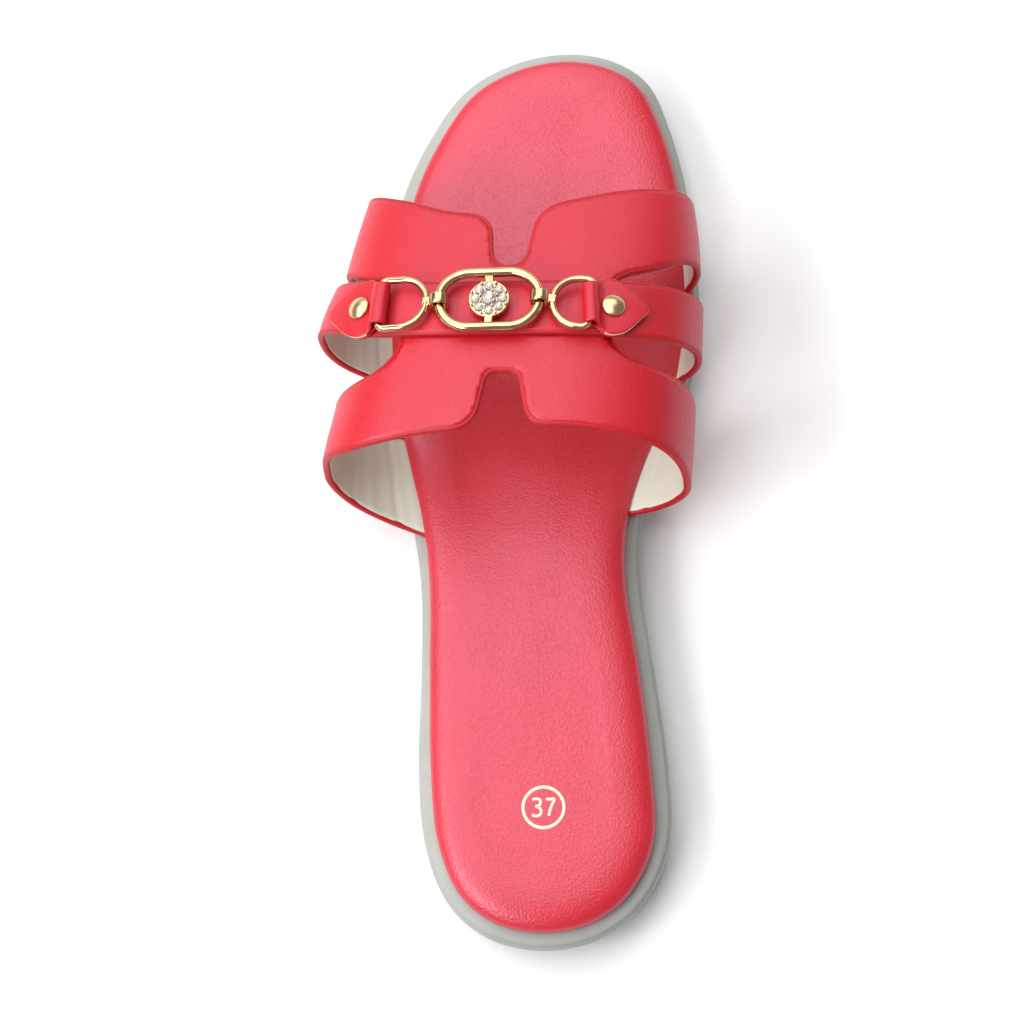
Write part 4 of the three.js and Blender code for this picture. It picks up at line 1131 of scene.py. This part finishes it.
# %% Tabs
TAB_PLAN = np.array([  # along, half width
    (0, 5.5), (1.7, 6.6), (3.6, 7.9), (5.6, 8), (7.8, 7.2), (9.8, 5.6), (11.8, 3.5), (13.4, 1.8), (14.4, 0.6),
])
TAB_FOLD = np.array([  # along, height of the strip's middle over the cross strap
    (14.4, 0.83), (11.5, 0.83), (8, 0.83), (4.5, 0.83), (2, 0.9), (0.8, 1.16), (-0.4, 1.42),
    (-1.3, 2.0), (-1.64, 3.0), (-1.19, 4.1), (0, 4.6), (1.05, 4.15), (1.5, 3.3), (1.95, 2.5),
    (2.7, 2.02), (3.6, 1.86), (5, 1.85), (8, 1.85), (11.5, 1.85), (14.4, 1.85),
])
TAB_GRID = {"path": 150, "across": 22, "rim": 60}
TAB_RIM = {"from": 3.0, "proud": 0.06, "deep": 0.5, "low": 1.7, "high": 2.2}
tab_half = column(TAB_PLAN[:, 0], TAB_PLAN[:, 1])


def tab_shape(side):
    """Strip along the fold: points at half a thickness to both sides of the path, at shares of the width."""
    step = np.arange(len(TAB_FOLD))
    fine = np.linspace(0, step[-1], TAB_GRID["path"])
    path = np.stack([column(step, TAB_FOLD[:, k])(fine) for k in (0, 1)], axis=1)
    way = unit(np.gradient(path, axis=0))
    aside = np.stack([way[:, 1], -way[:, 0]], axis=1)
    loop = smoothstep(path[:, 0], TAB_LOOP["from"], TAB_LOOP["to"])
    half = TAB_LOOP["half"] * (1 - loop) + tab_half(path[:, 0]) * loop
    share = np.linspace(-1, 1, TAB_GRID["across"])
    faces = []
    for face in (-0.5, 0.5):
        flat = path + aside * face * TAB["leather"]
        along = np.broadcast_to(flat[:, :1], (len(path), len(share)))
        around, station = tab_place(side, along, half[:, None] * share)
        out = np.broadcast_to(flat[:, 1:], along.shape)
        faces.append(to_frame(off_cross(around, station, out)))
    return outward(shell(faces[0], faces[1], grid_quads(len(path), len(share))))


def tab_rim(side):
    """Cut edge of a tab: a narrow band along its outline, standing just proud of both layers."""
    along = np.linspace(TAB_RIM["from"], TAB["tip"], TAB_GRID["rim"])
    half = tab_half(along)
    path = np.concatenate([np.stack([along, -half], axis=1), np.stack([along, half], axis=1)[::-1]])
    way = unit(np.gradient(path, axis=0))
    out = np.stack([way[:, 1], -way[:, 0]], axis=1)
    faces = []
    for proud in (TAB_RIM["proud"], -TAB_RIM["deep"]):
        edge = path + out * proud
        around, station = tab_place(side, edge[:, :1], edge[:, 1:])
        level = np.array([TAB_RIM["low"], TAB_RIM["high"]])
        around, station, level = np.broadcast_arrays(around, station, level)
        faces.append(to_frame(off_cross(around, station, level)))
    return outward(shell(faces[0], faces[1], grid_quads(len(path), 2)))


for name, side in SIDES.items():
    add_piece(f"tab_strip_{name}", tab_shape(side), [f"tab_{name}"])
    add_piece(f"tab_rim_{name}", tab_rim(side), smooth=False)

# %% [markdown]
# ## Size mark
# The heel carries the size, two figures in a ring, printed in cream. A text object would bring a font's
# outline, which had to be laid on the uneven footbed afterwards. Each stroke here is a thin ribbon that
# follows the footbed's top from the start.

# %% Size mark
MARK = {"x": 0.8, "station": 36.3, "radius": 5.4, "line": 0.88, "rim": 4.0, "steps": 120}
FIGURES = {"stroke": 0.78, "tall": 4.55, "left": -1.75, "right": 1.8, "steps": 60}
MARK_DEPTH = {"over": 0.06, "under": 0.25}
FIGURE_3 = np.array([  # x, y
    (-0.5, 0.86), (-0.3, 0.98), (0.05, 1.0), (0.36, 0.88), (0.44, 0.6), (0.3, 0.24), (-0.12, 0.1),
    (0.32, -0.04), (0.5, -0.42), (0.4, -0.82), (0.05, -1.0), (-0.3, -0.97), (-0.54, -0.8),
])
FIGURE_7 = np.array([  # x, y
    (-0.52, 0.95), (0, 0.95), (0.5, 0.95), (0.3, 0.5), (0.05, -0.1), (-0.1, -0.6), (-0.16, -1.0),
])


def top_of_footbed(x, station):
    """Height of the footbed's top near its middle line, as its rings give it."""
    middle = (side_at(-1, station) + side_at(1, station)) / 2
    reach = (side_at(1, station) - side_at(-1, station)) / 2 - MARK["rim"] - FOOTBED_PROFILE[-1, 0]
    share = 1 - np.clip(np.abs(x - middle) / reach, 0, 1)
    rise = FOOTBED_PROFILE[-1, 1] + (CROWN_RISE - FOOTBED_PROFILE[-1, 1]) * share
    return rim_at(station) + rise + uneven(x, station)


def ribbon(path, width, closed):
    """Flat ribbon along a path on the footbed, with a little thickness."""
    if closed:
        way = unit(np.roll(path, -1, axis=0) - np.roll(path, 1, axis=0))
    else:
        way = unit(np.gradient(path, axis=0))
    aside = np.stack([way[:, 1], -way[:, 0]], axis=1)
    rows = path[:, None] + aside[:, None] * np.array([-0.5, 0.5])[:, None] * width
    ground = top_of_footbed(rows[..., 0], rows[..., 1])
    faces = [np.concatenate([rows, (ground + lift)[..., None]], axis=-1).reshape(-1, 3)
             for lift in (MARK_DEPTH["over"], -MARK_DEPTH["under"])]
    return outward(shell(faces[0], faces[1], grid_quads(len(path), 2, wrap_rows=closed)))


def figure(strokes, x):
    """A figure's path, drawn from its table of points in half heights."""
    step = np.arange(len(strokes))
    fine = np.linspace(0, step[-1], FIGURES["steps"])
    path = np.stack([column(step, strokes[:, k])(fine) for k in (0, 1)], axis=1) * FIGURES["tall"] / 2
    return path + np.array([MARK["x"] + x, MARK["station"]])


angle = np.linspace(0, 2 * np.pi, MARK["steps"], endpoint=False)
circle = np.stack([np.cos(angle), np.sin(angle)], axis=1) * MARK["radius"]
mark = join(
    ribbon(circle + np.array([MARK["x"], MARK["station"]]), MARK["line"], True),
    ribbon(figure(FIGURE_3, FIGURES["left"]), FIGURES["stroke"], False),
    ribbon(figure(FIGURE_7, FIGURES["right"]), FIGURES["stroke"], False),
)
add_piece("size_mark", (to_frame(mark[0]), mark[1]))

# %% [markdown]
# ## Finishes
# All leathers share one grain: cells of a Voronoi texture with soft borders, broken up by noise. An image of
# leather would show its repeats, and its pixels up close. The grain is a node group, so each finish sets its
# own scale and strength. A second group gives slow changes of tone.

# %% Node groups
GRAIN = {"smoothness": 0.6, "finer": 1.7, "detail": 3, "noise": 0.5}
TONE = {"detail": 4, "roughness": 0.6}


def new_group(name, inputs, outputs):
    """Shader node group with float inputs and outputs, and its group input and output nodes."""
    group = bpy.data.node_groups.new(name, "ShaderNodeTree")
    for label, default in inputs:
        socket = group.interface.new_socket(label, in_out="INPUT", socket_type="NodeSocketFloat")
        socket.default_value = default
    for label in outputs:
        group.interface.new_socket(label, in_out="OUTPUT", socket_type="NodeSocketFloat")
    return group, group.nodes.new("NodeGroupInput"), group.nodes.new("NodeGroupOutput")


def math_node(tree, operation, a, b=None):
    """Math node with its inputs linked or set."""
    node = tree.nodes.new("ShaderNodeMath")
    node.operation = operation
    for socket, value in zip(node.inputs, (a, b)):
        if hasattr(value, "is_output"):
            tree.links.new(value, socket)
        elif value is not None:
            socket.default_value = value
    return node.outputs[0]


def noise_node(tree, coordinates, scale, detail, roughness=0.5):
    """Noise texture on the given coordinates."""
    node = tree.nodes.new("ShaderNodeTexNoise")
    tree.links.new(coordinates, node.inputs["Vector"])
    if hasattr(scale, "is_output"):
        tree.links.new(scale, node.inputs["Scale"])
    else:
        node.inputs["Scale"].default_value = scale
    node.inputs["Detail"].default_value = detail
    node.inputs["Roughness"].default_value = roughness
    return node.outputs["Fac"]


grain_group, entry, leave = new_group("leather_grain", [("Scale", 1000.0)], ["Height", "Cell"])
where = grain_group.nodes.new("ShaderNodeTexCoord").outputs["Object"]
cells = grain_group.nodes.new("ShaderNodeTexVoronoi")
cells.feature = "SMOOTH_F1"
grain_group.links.new(where, cells.inputs["Vector"])
grain_group.links.new(entry.outputs["Scale"], cells.inputs["Scale"])
cells.inputs["Smoothness"].default_value = GRAIN["smoothness"]
fine_scale = math_node(grain_group, "MULTIPLY", entry.outputs["Scale"], GRAIN["finer"])
fine_noise = noise_node(grain_group, where, fine_scale, GRAIN["detail"])
pebble = math_node(grain_group, "SUBTRACT", 1.0, cells.outputs["Distance"])
height = math_node(grain_group, "ADD", pebble, math_node(grain_group, "MULTIPLY", fine_noise, GRAIN["noise"]))
grain_group.links.new(height, leave.inputs["Height"])
grain_group.links.new(cells.outputs["Distance"], leave.inputs["Cell"])

tone_group, entry, leave = new_group("slow_tone", [("Scale", 40.0)], ["Tone"])
where = tone_group.nodes.new("ShaderNodeTexCoord").outputs["Object"]
slow = noise_node(tone_group, where, entry.outputs["Scale"], TONE["detail"], TONE["roughness"])
tone_group.links.new(slow, leave.inputs["Tone"])
print("groups", [group.name for group in bpy.data.node_groups])

# %% [markdown]
# The finishes follow. Colour, roughness and bump vary through the groups, and everything that is the same all
# over is set on the shader itself. Helpers first: each adds one node to a material and links it.

# %% Helpers for materials
BUMP_DISTANCE = 0.0001


def linear(red, green, blue):
    """Screen colour, 0 to 255, as the linear colour that a shader takes."""
    value = np.array([red, green, blue]) / 255
    return tuple(np.where(value <= 0.04045, value / 12.92, ((value + 0.055) / 1.055) ** 2.4)) + (1.0,)


def new_material(name, **sockets):
    """Material with one Principled shader, its plain sockets set."""
    material = bpy.data.materials.new(name)
    material.use_nodes = True
    shader = material.node_tree.nodes["Principled BSDF"]
    for label, value in sockets.items():
        shader.inputs[label.replace("_", " ")].default_value = value
    return material, material.node_tree, shader


def group_node(tree, group, scale):
    """A group placed in a material with its own scale."""
    node = tree.nodes.new("ShaderNodeGroup")
    node.node_tree = group
    node.inputs["Scale"].default_value = scale
    return node


def ramp_node(tree, factor, low, high, start=0.3, stop=0.7):
    """Colour that goes from low to high as the factor goes from start to stop."""
    node = tree.nodes.new("ShaderNodeValToRGB")
    node.color_ramp.elements[0].position = start
    node.color_ramp.elements[0].color = low
    node.color_ramp.elements[1].position = stop
    node.color_ramp.elements[1].color = high
    tree.links.new(factor, node.inputs["Fac"])
    return node.outputs["Color"]


def range_node(tree, value, low, high, start=0.3, stop=0.7):
    """Value carried from start..stop to low..high."""
    node = tree.nodes.new("ShaderNodeMapRange")
    for label, number in (("From Min", start), ("From Max", stop), ("To Min", low), ("To Max", high)):
        node.inputs[label].default_value = number
    tree.links.new(value, node.inputs["Value"])
    return node.outputs["Result"]


def bump_node(tree, shader, height, strength):
    """Bump from a height, into the shader's normal."""
    node = tree.nodes.new("ShaderNodeBump")
    node.inputs["Strength"].default_value = strength
    node.inputs["Distance"].default_value = BUMP_DISTANCE
    tree.links.new(height, node.inputs["Height"])
    tree.links.new(node.outputs["Normal"], shader.inputs["Normal"])


def toned(tree, shader, scale, dark, light):
    """Base colour that drifts between two screen colours with the slow tone. Gives the tone back."""
    tone = group_node(tree, tone_group, scale).outputs["Tone"]
    tree.links.new(ramp_node(tree, tone, linear(*dark), linear(*light)), shader.inputs["Base Color"])
    return tone


print("white in linear light", linear(255, 255, 255))

# %% [markdown]
# Red leather covers straps, edges and footbed. The turned edges get a darker red, which is painted shade for
# the shade on their rolled faces. The footbed's skin is glossier than the straps. A clear coat would give
# gloss too, but it hides the grain, so a higher specular level is used, with a slightly cold tint.

# %% Leathers
LEATHER_TONE = 38.0
GLOSS_SPREAD = (-0.05, 0.08)  # roughness on the cells and between them


def leather(name, dark, light, grain, bump, rough, **sockets):
    """Leather: slow changes of colour, a grain in the bump, and duller cell borders."""
    material, tree, shader = new_material(name, **sockets)
    toned(tree, shader, LEATHER_TONE, dark, light)
    cell = group_node(tree, grain_group, grain)
    duller = range_node(tree, cell.outputs["Cell"], rough + GLOSS_SPREAD[0], rough + GLOSS_SPREAD[1])
    tree.links.new(duller, shader.inputs["Roughness"])
    bump_node(tree, shader, cell.outputs["Height"], bump)
    return material


STRAP_SHEEN = {"Specular_IOR_Level": 0.8, "Specular_Tint": (0.77, 0.77, 1.0, 1.0)}
PAD_SHEEN = {"Specular_IOR_Level": 1.0, "Specular_Tint": (0.8, 0.8, 1.0, 1.0), "IOR": 1.53}
strap_leather = leather("strap_leather", (194, 12, 23), (201, 17, 29), 1700.0, 0.4, 0.42, **STRAP_SHEEN)
# The edges' darker red is painted shade for their rolled faces, not a colour of the leather.
painted_shade_edge_leather = leather("painted_shade_edge_leather", (176, 12, 23), (186, 16, 29), 1500.0, 0.1, 0.5)
pad_leather = leather("footbed_leather", (198, 18, 32), (206, 24, 39), 1500.0, 0.75, 0.4, **PAD_SHEEN)
lining_leather = leather("lining", (212, 216, 201), (223, 227, 213), 1500.0, 0.15, 0.5)
mark_print = leather("mark_print", (238, 222, 190), (246, 232, 204), 1500.0, 0.1, 0.5)
print("leathers", len(bpy.data.materials))

# %% [markdown]
# Rubber is dull with a fine roughness from the mould. Metal takes its colour from what it reflects, so its
# tone and gloss vary only a little. The stones are clear and bend light strongly. At the end, every piece
# gets its finish by name.

# %% Rubber, metal and stones
RUBBER = {"tone": 70.0, "noise": 2600.0, "detail": 3, "bump": 0.12}
METAL_TONE = 300.0
CRYSTAL_TONE = 500.0
sole_rubber, tree, shader = new_material("sole_rubber", Roughness=0.55)
toned(tree, shader, RUBBER["tone"], (160, 164, 158), (170, 173, 167))
where = tree.nodes.new("ShaderNodeTexCoord").outputs["Object"]
bump_node(tree, shader, noise_node(tree, where, RUBBER["noise"], RUBBER["detail"]), RUBBER["bump"])


def metal(name, dark, light, smooth, rough):
    """Metal whose tone and gloss vary a little."""
    material, tree, shader = new_material(name, Metallic=1.0)
    tone = toned(tree, shader, METAL_TONE, dark, light)
    tree.links.new(range_node(tree, tone, smooth, rough), shader.inputs["Roughness"])
    return material


pale_gold = metal("pale_gold", (208, 176, 132), (220, 190, 148), 0.1, 0.18)
rivet_gold = metal("rivet_gold", (216, 184, 138), (226, 196, 152), 0.24, 0.3)
bead_metal = metal("bead_metal", (206, 202, 194), (220, 216, 208), 0.1, 0.16)
crystal, tree, shader = new_material("crystal", Transmission_Weight=0.85, IOR=2.0, Roughness=0.02)
toned(tree, shader, CRYSTAL_TONE, (244, 247, 252), (255, 255, 255))

WORN = {
    "sole": sole_rubber, "footbed_pad": pad_leather, "vamp_hide": strap_leather, "cross_hide": strap_leather,
    "vamp_edge": painted_shade_edge_leather, "cross_edge": painted_shade_edge_leather, "vamp_lining": lining_leather,
    "cross_lining": lining_leather, "chain_oval": pale_gold, "rosette_stones": crystal,
    "rosette_beads": bead_metal, "size_mark": mark_print,
}
for name in SIDES:
    WORN[f"chain_ring_{name}"] = pale_gold
    WORN[f"rivet_head_{name}"] = rivet_gold
    WORN[f"tab_strip_{name}"] = strap_leather
    WORN[f"tab_rim_{name}"] = mark_print
for name, material in WORN.items():
    pieces[name].data.materials.append(material)
print(len(WORN), "pieces with a finish, of", len(pieces))

# %% [markdown]
# ## Floor and light
# The sandal stands on a pale floor under a wide soft light, which puts a sheen on everything that lies flat.
# Two narrow lights high on the lateral side, one of them behind the heel, draw a paler line along the
# footbed's shoulder. A light from the toe brightens the front of the straps, and the surround fills the
# shadows. One lamp would be simpler, but soft leather needs wide lights to show its form.

# %% Stage
LIGHTS = {  # place, target, size across and along, power
    "ceiling": ((-0.14, 0.33, 1.2), None, (0.85, 1.05), 7.8),
    "heel": ((-0.66, -0.58, 0.88), (0, 0, 0.02), (0.8, 0.4), 7.6),
    "side": ((-0.82, 0.08, 0.86), (0, 0, 0.02), (1.3, 0.35), 6.6),
    "front": ((-0.05, 1.0, 0.75), (0, 0.03, 0.03), (1.4, 0.8), 6.2),
}
FLOOR = {"half": 3.0, "down": 0.0002, "colour": (0.9, 0.9, 0.9, 1), "rough": 0.9}
SURROUND = 0.25


def area_light(name, place, target, size, power):
    """Soft light at a place, turned to a target or else straight down."""
    data = bpy.data.lights.new(name, "AREA")
    data.shape = "RECTANGLE"
    data.size, data.size_y = size
    data.energy = power
    light = bpy.data.objects.new(name, data)
    light.location = place
    if target:
        light.rotation_euler = (Vector(target) - Vector(place)).to_track_quat("-Z", "Y").to_euler()
    bpy.context.scene.collection.objects.link(light)


floor_mesh = bpy.data.meshes.new("floor")
half, down = FLOOR["half"], FLOOR["down"]
corners = [(-half, -half, -down), (half, -half, -down), (half, half, -down), (-half, half, -down)]
floor_mesh.from_pydata(corners, [], [(0, 1, 2, 3)])
floor = bpy.data.objects.new("floor", floor_mesh)
bpy.context.scene.collection.objects.link(floor)
floor_paint = new_material("floor_paint", Base_Color=FLOOR["colour"], Roughness=FLOOR["rough"])[0]
floor_mesh.materials.append(floor_paint)
for name, setting in LIGHTS.items():
    area_light(name, *setting)
world = bpy.data.worlds.new("surround")
world.use_nodes = True
background = world.node_tree.nodes["Background"]
background.inputs["Color"].default_value = (1, 1, 1, 1)
background.inputs["Strength"].default_value = SURROUND
bpy.context.scene.world = world
bpy.context.scene.view_settings.view_transform = "Standard"
print(len(LIGHTS), "lights")
